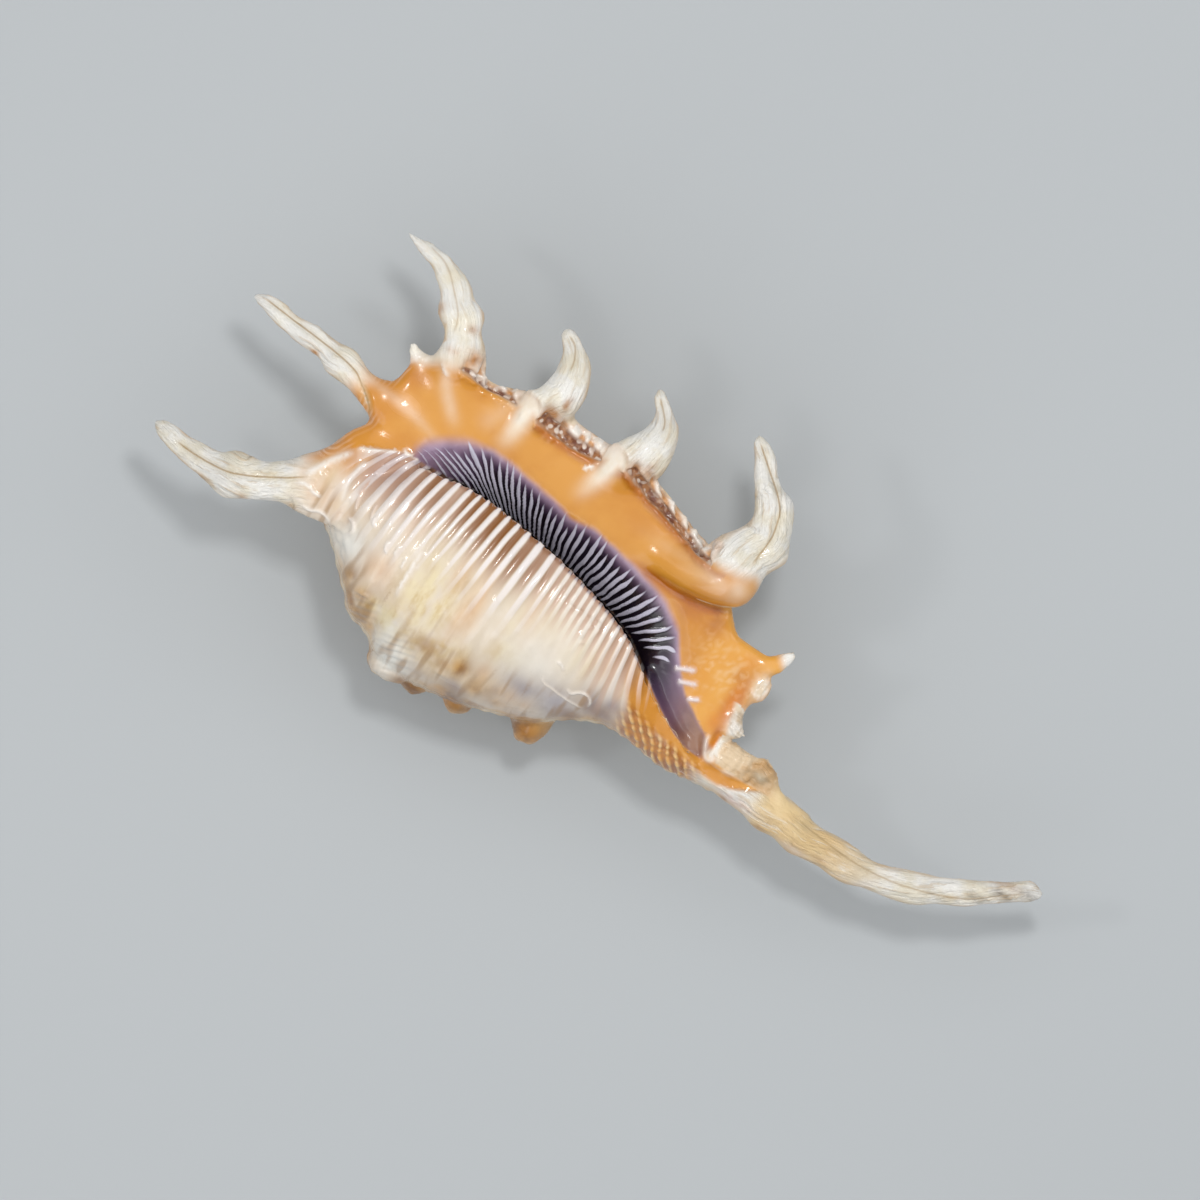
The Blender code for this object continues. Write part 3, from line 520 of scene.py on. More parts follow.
print("stage: solids")
slotCutter, troughCutter = makeSlotCutter(), makeHorn("troughCutter", canalTrough)
bodyPiece, lipPiece = makeBody(), makeLip()
hornPieces = {name: makeHorn(name, horn) for name, horn in horns.items()}
knobPieces = [makeKnob(index, *knob) for index, knob in enumerate(body["knobs"])]
parts = [bodyPiece, lipPiece, *hornPieces.values(), *knobPieces, makeLump("bead", *lip["bead"]), makeCurl()]
for piece in (bodyPiece, lipPiece, hornPieces["siphonalCanal"]):
    for cutter in (slotCutter, troughCutter):
        cut = piece.modifiers.new(cutter.name, "BOOLEAN")
        cut.operation, cut.solver, cut.object = "DIFFERENCE", "EXACT", cutter

print("stage: one skin")
bpy.context.view_layer.update()
graph = bpy.context.evaluated_depsgraph_get()
whole = bmesh.new()
for piece in parts:
    solid = bpy.data.meshes.new_from_object(piece.evaluated_get(graph))
    solid.transform(piece.matrix_world)
    whole.from_mesh(solid)
    bpy.data.meshes.remove(solid)
bmesh.ops.remove_doubles(whole, verts=whole.verts, dist=1e-6)
joined = bpy.data.meshes.new("joined")
whole.to_mesh(joined)
whole.free()
draft = bpy.data.objects.new("draft", joined)
bpy.context.scene.collection.objects.link(draft)
remesh = draft.modifiers.new("one skin", "REMESH")
remesh.mode = "VOXEL"
remesh.voxel_size = skin["voxel"] * mm
bpy.context.view_layer.update()
graph = bpy.context.evaluated_depsgraph_get()
shellMesh = bpy.data.meshes.new_from_object(draft.evaluated_get(graph))
slotWall = BVHTree.FromObject(slotCutter, graph)
for piece in [*parts, draft, slotCutter, troughCutter]:
    bpy.data.objects.remove(piece)
# the underside is plainer, so it keeps fewer faces
rough = bpy.data.objects.new("rough", shellMesh)
bpy.context.scene.collection.objects.link(rough)
underside = rough.vertex_groups.new(name="underside")
underside.add([vertex.index for vertex in shellMesh.vertices if vertex.normal.z < -0.15], 1.0, "REPLACE")
thinner = rough.modifiers.new("thinner", "DECIMATE")
thinner.ratio, thinner.vertex_group = skin["kept"], underside.name
bpy.context.view_layer.update()
shellMesh = bpy.data.meshes.new_from_object(rough.evaluated_get(bpy.context.evaluated_depsgraph_get()))
bpy.data.objects.remove(rough)
print("faces:", len(shellMesh.polygons))


def readPoints(mesh):
    flat = np.empty(3 * len(mesh.vertices))
    mesh.vertices.foreach_get("co", flat)
    return flat.reshape(-1, 3) / mm


def writePoints(mesh, points):
    mesh.vertices.foreach_set("co", (points * mm).ravel())
    mesh.update()


def readNormals(mesh):
    flat = np.empty(3 * len(mesh.vertices))
    mesh.vertex_normals.foreach_get("vector", flat)
    return flat.reshape(-1, 3)


def relax(mesh, points, rounds, weight):
    # each point moves towards the middle of its neighbours
    pairs = np.empty(2 * len(mesh.edges), int)
    mesh.edges.foreach_get("vertices", pairs)
    first, second = pairs.reshape(-1, 2).T
    count = len(points)
    degree = np.bincount(first, minlength=count) + np.bincount(second, minlength=count)
    for _ in range(rounds):
        middle = np.column_stack(
            [
                np.bincount(first, points[second, k], count) + np.bincount(second, points[first, k], count)
                for k in range(3)
            ]
        )
        points = points + weight[:, None] * (middle / degree[:, None] - points)
    return points


glaze = {
    # where the lip's glaze ends outside, in plan
    "border": (
        (-52, 13), (-48, 14.5), (-46, 15.5), (-44, 15.9), (-42, 16.1), (-38, 15.9), (-34, 16.3), (-28.4, 15.6),
        (-26, 15.2), (-22, 15.1), (-18, 15.3), (-12.2, 16.4), (-10, 15.6), (-7, 14.7), (-4, 14.0), (0, 12.7),
        (4, 11.4), (8, 10.7), (10, 10.9), (14, 11.5), (18, 12),
    ),
    # how wide the crumpled dark crevice outside it is
    "creviceWidth": (
        (-43.5, 0.2), (-41.5, 0.9), (-38, 1.0), (-34.5, 0.8), (-32, 0.0), (-29, 0.0), (-27.8, 1.9), (-24, 2.0),
        (-20, 1.8), (-17.6, 1.2), (-16.5, 0.0), (-12.8, 0.0), (-11.4, 1.3), (-7, 1.7), (-2, 1.5), (4, 0.9),
        (6.4, 0.4), (7.4, 0.0),
    ),
    "frillWidth": 3.4,
    # the round ends of the glaze on the two middle digits: x, y and radius
    "arches": ((-31.3, 16.4, 3.0), (-15.0, 17.0, 2.5)),
    # where the orange gives way to bare shell at the lowest digit's root
    "lobe": ((-10, 17), (-4, 15.5), (0, 13.8), (4, 12.8), (8, 12.0), (11, 12.4), (14, 13.2), (17, 12.0)),
    # the top of the columella's wall in the slot, towards the canal
    "cliff": ((5, -8.0), (7, -9.4), (10, -11.4), (13, -13.2), (16, -14.8), (19, -15.9), (21.5, -16.3)),
    # how far the slope below it drops, and over which width
    "slopeDrop": 7.0,
    "slopeWidth": 4.4,
    # the lower edge of the rolled wall beside the canal
    "wall": (
        (20, -14.9), (22, -15.3), (24, -15.8), (26, -15.9), (28, -15.3), (30, -15.0), (32, -14.6), (34, -14.1),
        (36, -13.6),
    ),
    # where the base's glaze ends below
    "baseBorder": (
        (0, -6.2), (2, -7.6), (4, -9.6), (6, -12.6), (8, -14.6), (10, -15.4), (14, -16.1), (18, -17.0), (22, -17.8),
        (26, -18.1), (28, -17.6), (30, -16.7), (32, -15.6), (34, -14.5), (36, -13.6),
    ),
    # where the orange ends at the notch: y, then x
    "notch": (
        (-17, 24.0), (-15, 23.9), (-13.5, 23.3), (-12, 23.2), (-10.6, 24.2), (-10, 25), (-9, 23.0), (-7, 22.6),
        (-6, 24.5), (-5, 30), (9, 30),
    ),
    # the roll of the lowest digit's root, which stands proud of the glaze beside it
    "roll": ((-4, 5.7), (0, 5.2), (4, 4.9), (8, 5.2), (11, 6), (13.6, 7.3)),
    "rollHeight": 0.45,
}

print("stage: finer where it is carved")
fine = bmesh.new()
fine.from_mesh(shellMesh)
carved = []
for face in fine.faces:
    spot = face.calc_center_median() / mm
    if face.normal.z < 0.05:
        continue
    edgeY = lookUp(aperture["columellaEdge"], spot.x)
    border = lookUp(glaze["border"], spot.x)
    ridged = -51 < spot.x < 11 and edgeY - 12 < spot.y < edgeY + 0.5
    toothed = -43 < spot.x < 18 and edgeY - 1 < spot.y < lookUp(aperture["violetEdge"], spot.x) + 1.6
    frilled = -44 < spot.x < 10 and border - 1.4 < spot.y < border + 3.6
    curled = 21 < spot.x < 34 and spot.y > -16.2 and spot.z > 24
    beaded = 6 < spot.x < 22 and spot.y < lookUp(glaze["baseBorder"], spot.x) + 0.6 and spot.z > 22
    squiggled = -7.5 < spot.x < 3 and -20.5 < spot.y < -14
    wrinkled = -53 < spot.x < -34 and -16.5 < spot.y < -8 or -42 < spot.x < -8 and spot.y < -22 and spot.z > 12
    if ridged or toothed or frilled or curled or beaded or squiggled or wrinkled:
        carved.append(face)
edges = list({edge for face in carved for edge in face.edges})
bmesh.ops.subdivide_edges(fine, edges=edges, cuts=1, use_grid_fill=True)
fine.to_mesh(shellMesh)
fine.free()
print("triangles:", sum(len(face.vertices) - 2 for face in shellMesh.polygons))

print("stage: blend and glaze")
points = relax(shellMesh, readPoints(shellMesh), skin["blendRounds"], np.full(len(shellMesh.vertices), 0.5))
writePoints(shellMesh, points)
normals = readNormals(shellMesh)
x, y, z = points.T
edgeY = lookUp(aperture["columellaEdge"], x)
border = lookUp(glaze["border"], x)
flat = ease(normals[:, 2], 0.3, 0.7) * ease(y - edgeY, 1.5, 4) * ease(border - y, -1.0, 1.5)
flat *= ease(x, -51, -49) * ease(-x, -9, 3)
points = relax(shellMesh, points, skin["glazeRounds"], 0.5 * flat)

# the lowest digit's root runs out into the lip
x, y, z = points.T
runOut = ease(x, -13, -7) * (1 - ease(x, 3, 9)) * ease(y, 4, 6) * (1 - ease(y, 10.5, 12)) * (z > 14)
points = relax(shellMesh, points, skin["runOutRounds"], 0.5 * runOut)

# towards the canal, the columella's wall in the slot is a slope and not sheer
x, y, z = points.T
slotTable = smoothLine(aperture["sections"], 80)
overCliff = y - lookUp(glaze["cliff"], x)
rounded = lookUp(slotTable, x, 3) - 0.2 - glaze["slopeDrop"] * ease(overCliff, -0.4, glaze["slopeWidth"])
rounded -= 0.25 * (1 - ease(overCliff, -0.9, 0.3))
sheer = ease(x, 6, 9) * (1 - ease(x, 18.5, 21)) * (z > rounded - 10)
sheer *= ease(overCliff, -1.8, -1.2) * (1 - ease(overCliff, glaze["slopeWidth"] - 1, glaze["slopeWidth"]))
points[:, 2] += sheer * np.clip(rounded - z, 0, None)
softened = ease(x, 5, 8) * (1 - ease(x, 20, 22)) * ease(overCliff, -2.2, -1.0) * ease(4.8 - overCliff, 0, 1.5)
softened *= points[:, 2] > rounded - 2
points = relax(shellMesh, points, skin["wallRounds"], 0.5 * softened)
writePoints(shellMesh, points)
normals = readNormals(shellMesh)
x, y, z = points.T
plan = points[:, :2]
up = normals[:, 2]
print("points:", len(points))

print("stage: marks")
# each mark is a number at every point, which the material or the relief reads
marks = {}
facing = ease(up, 0.0, 0.3)
edgeY = lookUp(aperture["columellaEdge"], x)
violetY = lookUp(aperture["violetEdge"], x)
border = lookUp(glaze["border"], x)
baseBorder = lookUp(glaze["baseBorder"], x)
rimZ, columellaZ = lookUp(slotTable, x, 4), lookUp(slotTable, x, 3)
lowNoise, midNoise, fineNoise = speckle(points, 9.0), speckle(points, 3.2, 5.0), speckle(points, 1.1, 9.0)

# the slot's walls, from how near they are to what was cut out
wallGap = np.array([(slotWall.find_nearest(Vector(point * mm))[3] or 1.0) / mm for point in points])
inSlot = ease(-wallGap, -0.9, -0.45) * (x > -45) * (x < 22)
underEdge = ease(columellaZ - 2.2 - z, 0, 1.6) * (y < edgeY + 0.1) * (1 - ease(x, 2, 6)) * ease(x, -39, -33)
# painted shade: the slot's deep parts, and those under the columella's edge, are painted near black
slotShade = inSlot * np.maximum(underEdge, ease(rimZ - 7.5 - z, 0, 3) * (1 - 0.8 * ease(x, 3, 8)))
seen = facing * (1 - slotShade) * ease(z, 12, 16)
marks["slotShade"] = slotShade


def stroke(line, reach=3.0, count=40):
    # for the points near a line in plan: the gap to it, positive on its left, and how far along it they are
    line = smoothLine(line, count)
    gap, along = np.full(len(plan), reach), np.zeros(len(plan))
    near = np.nonzero(((plan > line.min(0) - reach) & (plan < line.max(0) + reach)).all(1))[0]
    spots, best = plan[near], np.full(len(near), reach)
    side, travel = np.ones(len(near)), np.zeros(len(near))
    run = 0.0
    for start, stop in zip(line, line[1:]):
        step = stop - start
        length = np.hypot(*step)
        share = np.clip(((spots - start) @ step) / length**2, 0, 1)
        away = spots - start - share[:, None] * step
        distance = np.hypot(*away.T)
        closer = distance < best
        best[closer] = distance[closer]
        travel[closer] = (run + share * length)[closer]
        side[closer] = np.sign(step[0] * away[:, 1] - step[1] * away[:, 0])[closer]
        run += length
    gap[near], along[near] = best * side, travel / run
    return gap, along


def line(path, width, fadeIn=0.0, fadeOut=0.0):
    # a soft line of this half width, fading in and out over these shares of its length
    gap, along = stroke(path, 3 * width + 0.5)
    weight = bump(gap, width) * (np.abs(gap) < 3 * width)
    if fadeIn:
        weight *= ease(along, 0, fadeIn)
    if fadeOut:
        weight *= ease(1 - along, 0, fadeOut)
    return weight


def patch(places):
    # soft spots: x, y, half sizes and strength
    total = np.zeros(len(points))
    for spotX, spotY, halfX, halfY, strength in places:
        total = np.maximum(total, strength * bump((x - spotX) / halfX, 1) * bump((y - spotY) / halfY, 1))
    return total


def limit(values):
    # between 0 and 1
    return np.clip(values, 0, 1)


def archGaps():
    # how far each point is outside the round ends of the glaze, for each of them
    return [np.hypot(x - archX, y - archY) - radius for archX, archY, radius in glaze["arches"]]


# digits, spurs and canal: where each point is along its horn and across it
across, along, bare = np.zeros(len(points)), np.zeros(len(points)), np.zeros(len(points))
strand, seamGap, seamWeight = np.zeros(len(points)), np.full(len(points), 3.0), np.zeros(len(points))
best = np.full(len(points), 9.0)
bareFrom = {
    # from where to where the glaze gives way to bare shell, and how strong the strands and the seam's line are
    "posteriorDigit": ((-53.5, -8), (-59.5, -12), 1.0, 0.8),
    "spireDigit": ((-53.5, 6.0), (-60.0, 7.6), 0.8, 0.8),
    "shoulderDigit": ((-44.6, 14.6), (-46.8, 20), 0.5, 0.4),
    "upperLipDigit": ((-30.4, 15.8), (-29.6, 20.4), 0.65, 0.6),
    "middleLipDigit": ((-14.2, 15.8), (-13.2, 20.4), 0.75, 0.6),
    "lowerLipDigit": ((10.6, 10.4), (9.6, 14.2), 0.8, 0.8),
    "siphonalCanal": ((25, -17), (27.5, -17), 0.9, 0.5),
    "canalFrill": ((22.3, -13), (23.1, -13), 0.5, 0),
    "spireSpur": ((-49.4, 13.4), (-51.2, 14.8), 0.4, 0),
    "notchSpur": ((23.6, 3.2), (25.4, 5.2), 0.6, 0),
    "notchTooth": ((22.2, -8.6), (23.6, -8.2), 0.8, 0),
}
for order, (name, horn) in enumerate(horns.items()):
    left, right = hornStations(horn, 120)
    middles, halves = (left + right) / 2, (right - left) / 2
    run = np.concatenate([[0], np.cumsum(np.linalg.norm(np.diff(middles, axis=0), axis=1))])
    lows, highs = np.minimum(left.min(0), right.min(0)) - 2, np.maximum(left.max(0), right.max(0)) + 2
    near = np.nonzero(((plan > lows) & (plan < highs)).all(1))[0]
    gaps = np.linalg.norm(plan[near][:, None] - middles[None], axis=2)
    station = gaps.argmin(1)
    halfWide = np.maximum(np.linalg.norm(halves[station], axis=1), 0.4)
    offset = ((plan[near] - middles[station]) * halves[station]).sum(1) / halfWide
    ratio = gaps.min(1) / halfWide
    won = ratio < np.minimum(best[near], 1.35)
    chosen = near[won]
    best[chosen] = ratio[won]
    isCanal = name == "siphonalCanal"
    slant = 0.10 if isCanal else 0
    across[chosen] = offset[won] + slant * run[station[won]]
    along[chosen] = run[station[won]] + 100 * order
    start, stop, strandStrength, seamStrength = bareFrom[name]
    way = np.array(stop, float) - start
    bare[chosen] = ease(((plan[chosen] - start) @ way) / (way @ way) + 0.15 * midNoise[chosen], 0, 1)
    strand[chosen] = strandStrength
    seamWeight[chosen] = 0
    if "seam" in horn:
        gap, travel = stroke(horn["seam"], 2.5, 60)
        seamGap[chosen] = gap[chosen]
        fades = ease(travel, 0, 0.15) * ease(1 - travel, 0, 0.06) * (1 - ease(np.abs(gap), 1.0, 1.4))
        if isCanal:
            fades = fades * ease(x, 37, 42)
        seamWeight[chosen] = (seamStrength * fades)[chosen]
onDigit = best < 1.3
lobe = lookUp(glaze["lobe"], x)
onLobe = (x > -9.5) * (y < 17) * (x < 20) * (y > 5)
bare = np.where(onLobe, ease(y - lobe + 0.5 * midNoise, -1.8, 1.8) * onDigit, bare)
wallY = lookUp(glaze["wall"], x)
onCanal = ease(x, 19.5, 20.5) * ease(wallY - y, -0.9, 0.9)
canalBare = np.maximum(ease(x, 31.5, 35.5), ease(baseBorder - y + 0.2 * midNoise, -0.3, 0.7))
bare = bare * (1 - onCanal) + canalBare * onCanal
for archX, archY, archRadius in glaze["arches"]:
    away = np.hypot(x - archX, y - archY) + 0.5 * midNoise
    onArch = (y > 14) * (np.abs(x - archX) < 6)
    bareArch = 0.35 * ease(y, 15.5, 19) + 0.65 * ease(away, archRadius - 0.9, archRadius + 0.5)
    bare = np.where(onArch, bare * bareArch, bare)

# the strands fade out where two horns, or a horn and the body, meet
owner = np.where(onDigit, np.floor(along / 100), -1)
ends = np.empty(len(shellMesh.edges) * 2, np.int32)
shellMesh.edges.foreach_get("vertices", ends)
firstEnds, secondEnds = ends[::2], ends[1::2]
for _ in range(3):
    meets = owner[firstEnds] != owner[secondEnds]
    owner[firstEnds[meets]] = owner[secondEnds[meets]] = -2
neighbours = np.bincount(ends, minlength=len(points))
for _ in range(8):
    strand[owner < 0] = 0
    fromSecond = np.bincount(firstEnds, strand[secondEnds], len(points))
    strand = (fromSecond + np.bincount(secondEnds, strand[firstEnds], len(points))) / neighbours
marks["across"], marks["along"] = across, along
marks["bare"] = bare
marks["strand"] = strand * bare * onDigit
marks["seam"], marks["seamWeight"] = seamGap, seamWeight * facing
# a tan outline along the digits' edges, which also paints shade on their rounded sides
marks["edge"] = bare * ease(best, 0.78, 1.02) * onDigit * (0.6 + 0.5 * midNoise)

ridges = {
    # x of each white crest on the columella, at y = -4
    "crests": (
        -50.4, -48.2, -45.6, -43.3, -41.1, -38.9, -36.8, -34.8, -32.6, -30.9, -29.3, -27.1, -24.9, -22.9, -20.8, -18.1,
        -15.4, -13.2, -11.6, -10.2, -8.8, -7.4, -6.1, -4.7, -3.3, -1.9, -0.5, 1.0, 2.4, 3.9, 5.2, 6.4, 7.5, 8.5, 9.5,
        10.5,
    ),
    "height": 0.46,
    # all of these go along x
    "lean": (
        (-50, 0.16), (-44, 0.10), (-38, 0.10), (-30, 0.15), (-20, 0.09), (-12, 0.03), (0, -0.05), (4, -0.14),
        (9, -0.38),
    ),
    # how far they turn aside just below the edge
    "hook": ((-50, 3.4), (-46, 3.0), (-42, 1.9), (-38, 1.0), (-30, 0.4), (-20, 0.25), (0, 0.1), (9, 0)),
    # how much wider, above 0, or thinner the white is than the gap
    "bias": (
        (-50, 0.25), (-42, 0.3), (-37, -0.05), (-30, -0.25), (-20, -0.2), (-16, 0.0), (-12, -0.2), (-2, -0.2), (3, 0.1),
        (10, 0),
    ),
    "reach": (
        (-52, 8), (-46, 11), (-40, 12.5), (-30, 11.5), (-20, 13.5), (-14, 11), (-8, 6), (0, 7.5), (4, 7.5), (9, 3.5),
    ),
    "strength": (
        (-51, 0), (-48.5, 0.5), (-45, 0.85), (-38, 1), (-20, 1), (-15, 0.9), (-12, 0.5), (-4, 0.4), (1, 0.6), (7, 0.5),
        (10.5, 0),
    ),
    "brown": (
        (-50, 0.0), (-46, 0.2), (-40, 0.5), (-37, 0.9), (-34.5, 0.6), (-33, 0.35), (-31, 0.95), (-23, 1.0),
        (-20, 0.85), (-16, 0.65), (-12, 0.32), (-5, 0.25), (1, 0.35), (5, 0.5), (8.5, 0.35), (9.6, 0),
    ),
    "brownReach": ((-50, 8), (-40, 8), (-30, 8.5), (-20, 11), (-12, 6), (0, 5), (8, 5)),
    "blushReach": (
        (-50, 14), (-44, 15), (-38, 14), (-30, 12), (-24, 13), (-14, 10), (-4, 10), (2, 14), (6, 14),
    ),
}
drop = np.clip(edgeY - y, 0, 30)
onCallus = seen * ease(edgeY - y, -0.4, 0.2)
aside = lookUp(ridges["lean"], x) * (y + 4) + lookUp(ridges["hook"], x) * (np.exp(-drop / 2.6) - 0.2)
marks["ridgePhase"] = np.interp(
    x - aside + 0.16 * lowNoise + 0.07 * midNoise, ridges["crests"], np.arange(len(ridges["crests"])))
marks["ridgeBias"] = lookUp(ridges["bias"], x)


def fadeDown(reach, start, stop, shift=0.0):
    # 1 at the columella's edge, and less below it
    return 1 - ease(drop + shift, reach * start, reach * stop)


marks["mauve"] = onCallus * ease(-x, 36.5, 43) * fadeDown(1, 3, 10) * ease(x, -50, -46)
ridgeReach = lookUp(ridges["reach"], x) * (1 + 0.2 * midNoise)
marks["ridge"] = onCallus * lookUp(ridges["strength"], x) * fadeDown(ridgeReach, 0.35, 1.5) ** 0.8
marks["ridge"] *= 1 - 0.4 * marks["mauve"]
marks["caramel"] = onCallus * lookUp(ridges["brown"], x) * fadeDown(lookUp(ridges["brownReach"], x), 0.3, 1.25)
# painted shade: a darker mauve-pink where the columella's edge rolls down into the slot
marks["edgeRollShade"] = onCallus * ease(x, -47, -42) * (1 - ease(x, -2, 2)) * fadeDown(1, 0.2, 1.4)
marks["edgeRollShade"] *= 1 - 0.6 * bump((x + 26) / 9, 1)
marks["blush"] = onCallus * ease(x, -49, -45) * (1 - ease(x, 4, 7))
marks["blush"] *= fadeDown(lookUp(ridges["blushReach"], x), 0.35, 1, lowNoise)

# the lip's teeth: pointed white lines from a foot near the columella to a tip in the violet
teeth = {
    "spacing": (
        (-46, 1.9), (-40, 1.75), (-35, 1.45), (-28, 1.2), (-20, 1.12), (-10, 1.12), (-2, 1.3), (4, 1.5), (8, 1.7),
        (12, 2.0),
    ),
    "height": 0.3,
    "lean": (
        (-44, -2.2), (-40, -2.0), (-35, -1.6), (-30, -1.05), (-24, -0.66), (-17, -0.22), (-11, 0.06), (-5, 0.3),
        (3, 0.6), (8, 0.85), (12, 1.2),
    ),
    # how far above the columella they start, and how far past the violet they end
    "foot": ((-44, 0.4), (-30, -0.3), (-6, -0.3), (0, 0.3), (4, 1.6), (8, 2.9), (12, 3.6)),
    "tip": ((-44, 0.2), (-34, 0.8), (-26, 0.6), (-16, 0.6), (-10, 0.8), (0, 0.5), (6, 0.7), (12, 1.0)),
    "dashes": (((10.4, -6.0), (14.0, -4.3)), ((12.0, -7.5), (15.4, -6.1)), ((14.7, -9.1), (17.0, -8.0))),
    # how wide the violet's soft border is
    "haze": (
        (-44, 3.4), (-38, 3.2), (-31, 1.6), (-20, 1.3), (-8, 1.2), (0, 1.7), (7, 2.0), (12, 1.2), (20, 0.8),
    ),
}
steps = np.arange(-48, 14, 0.05)
counted = np.cumsum(0.05 / lookUp(teeth["spacing"], steps))
middles = np.interp(np.arange(1, int(counted[-1])), counted, steps)
rng = np.random.default_rng(5)
tipShift, widths = rng.uniform(-1.4, 0.7, len(middles)), rng.uniform(0.75, 1.1, len(middles))
middles = middles + rng.uniform(-0.16, 0.16, len(middles))
footY = edgeY + lookUp(teeth["foot"], x)
tipY = violetY + lookUp(teeth["tip"], x)
toothed = np.nonzero((x > -44) & (x < 13) & (y > edgeY - 1.5) & (y < tipY + 2))[0]
rise = ((y - footY) / (tipY - footY))[toothed]
span = lookUp(teeth["lean"], middles) * (
    lookUp(aperture["violetEdge"], middles) + lookUp(teeth["tip"], middles)
    - lookUp(aperture["columellaEdge"], middles) - lookUp(teeth["foot"], middles))
curve = 0.12 * np.sin(math.pi * np.clip(rise, 0, 1))
places = middles[None] + span[None] * (rise - 0.5 + curve)[:, None]
wander = 0.26 * speckle(points[toothed] * (1, 0.45, 1), 2.6, 3.0)
wander = wander + 0.10 * speckle(points[toothed] * (1, 0.5, 1), 1.0, 7.0)
seat = np.clip((places < (x[toothed] + wander)[:, None]).sum(1) - 1, 0, len(middles) - 2)
rows = np.arange(len(toothed))
step = places[rows, seat + 1] - places[rows, seat]
phase = seat + np.clip((x[toothed] + wander - places[rows, seat]) / step, -0.5, 1.5)
index = np.clip(np.round(phase).astype(int), 0, len(middles) - 1)
reached = (y[toothed] - footY[toothed]) / (tipY[toothed] + tipShift[index] - footY[toothed])
toothPhase, toothWidth = np.zeros(len(points)), np.zeros(len(points))
toothPhase[toothed] = phase
toothWidth[toothed] = ease(reached, -0.12, 0.18) * (1 - ease(reached, 0.5, 1.0)) ** 0.8 * widths[index]
onWall = seen * ease(y - edgeY + 0.6 * (1 - ease(x, 4, 9)), -0.3, 0.3) * ease(x, -44, -41)
fainter = (0.35 + 0.65 * ease(x, -41, -34)) * (1 - 0.16 * ease(x, -8, 2) - 0.22 * ease(x, 2, 7))
marks["toothPhase"] = toothPhase
marks["tooth"] = onWall * toothWidth * (1 - ease(x, 8.6, 10.2)) * fainter
dashes = [line((start, np.add(start, stop) / 2, stop), 0.38, 0.15, 0.2) for start, stop in teeth["dashes"]]
marks["dash"] = seen * np.maximum.reduce(dashes)
haze = lookUp(teeth["haze"], x)
depthIn = violetY - y + 0.3 * midNoise
marks["violet"] = onWall * ease(depthIn + haze * 0.55, 0, haze) * ease(-x, -23, -20)
marks["plum"] = onWall * ease(depthIn, -0.2, 2.0) * (1 - 0.2 * ease(x, -4, 4) * (1 - ease(depthIn, 2, 4)))
marks["plum"] *= (0.35 + 0.65 * ease(x, -40, -33)) * ease(-x, -18, -12)
# dark purple deep in the slot, with painted shade there: near black
marks["purpleAndSlotShade"] = onWall * ease(depthIn, 0.4, 3.0) * ease(x, -37, -29) * ease(-x, -14, -5)
marks["trough"] = onWall * ease(x, 9, 17) * ease(depthIn, -0.6, 0.6) * ease(-x, -22.5, -19)
marks["umber"] = onWall * ease(x, 14, 20) * ease(depthIn, -0.4, 0.6) * ease(-x, -22.5, -20.5)

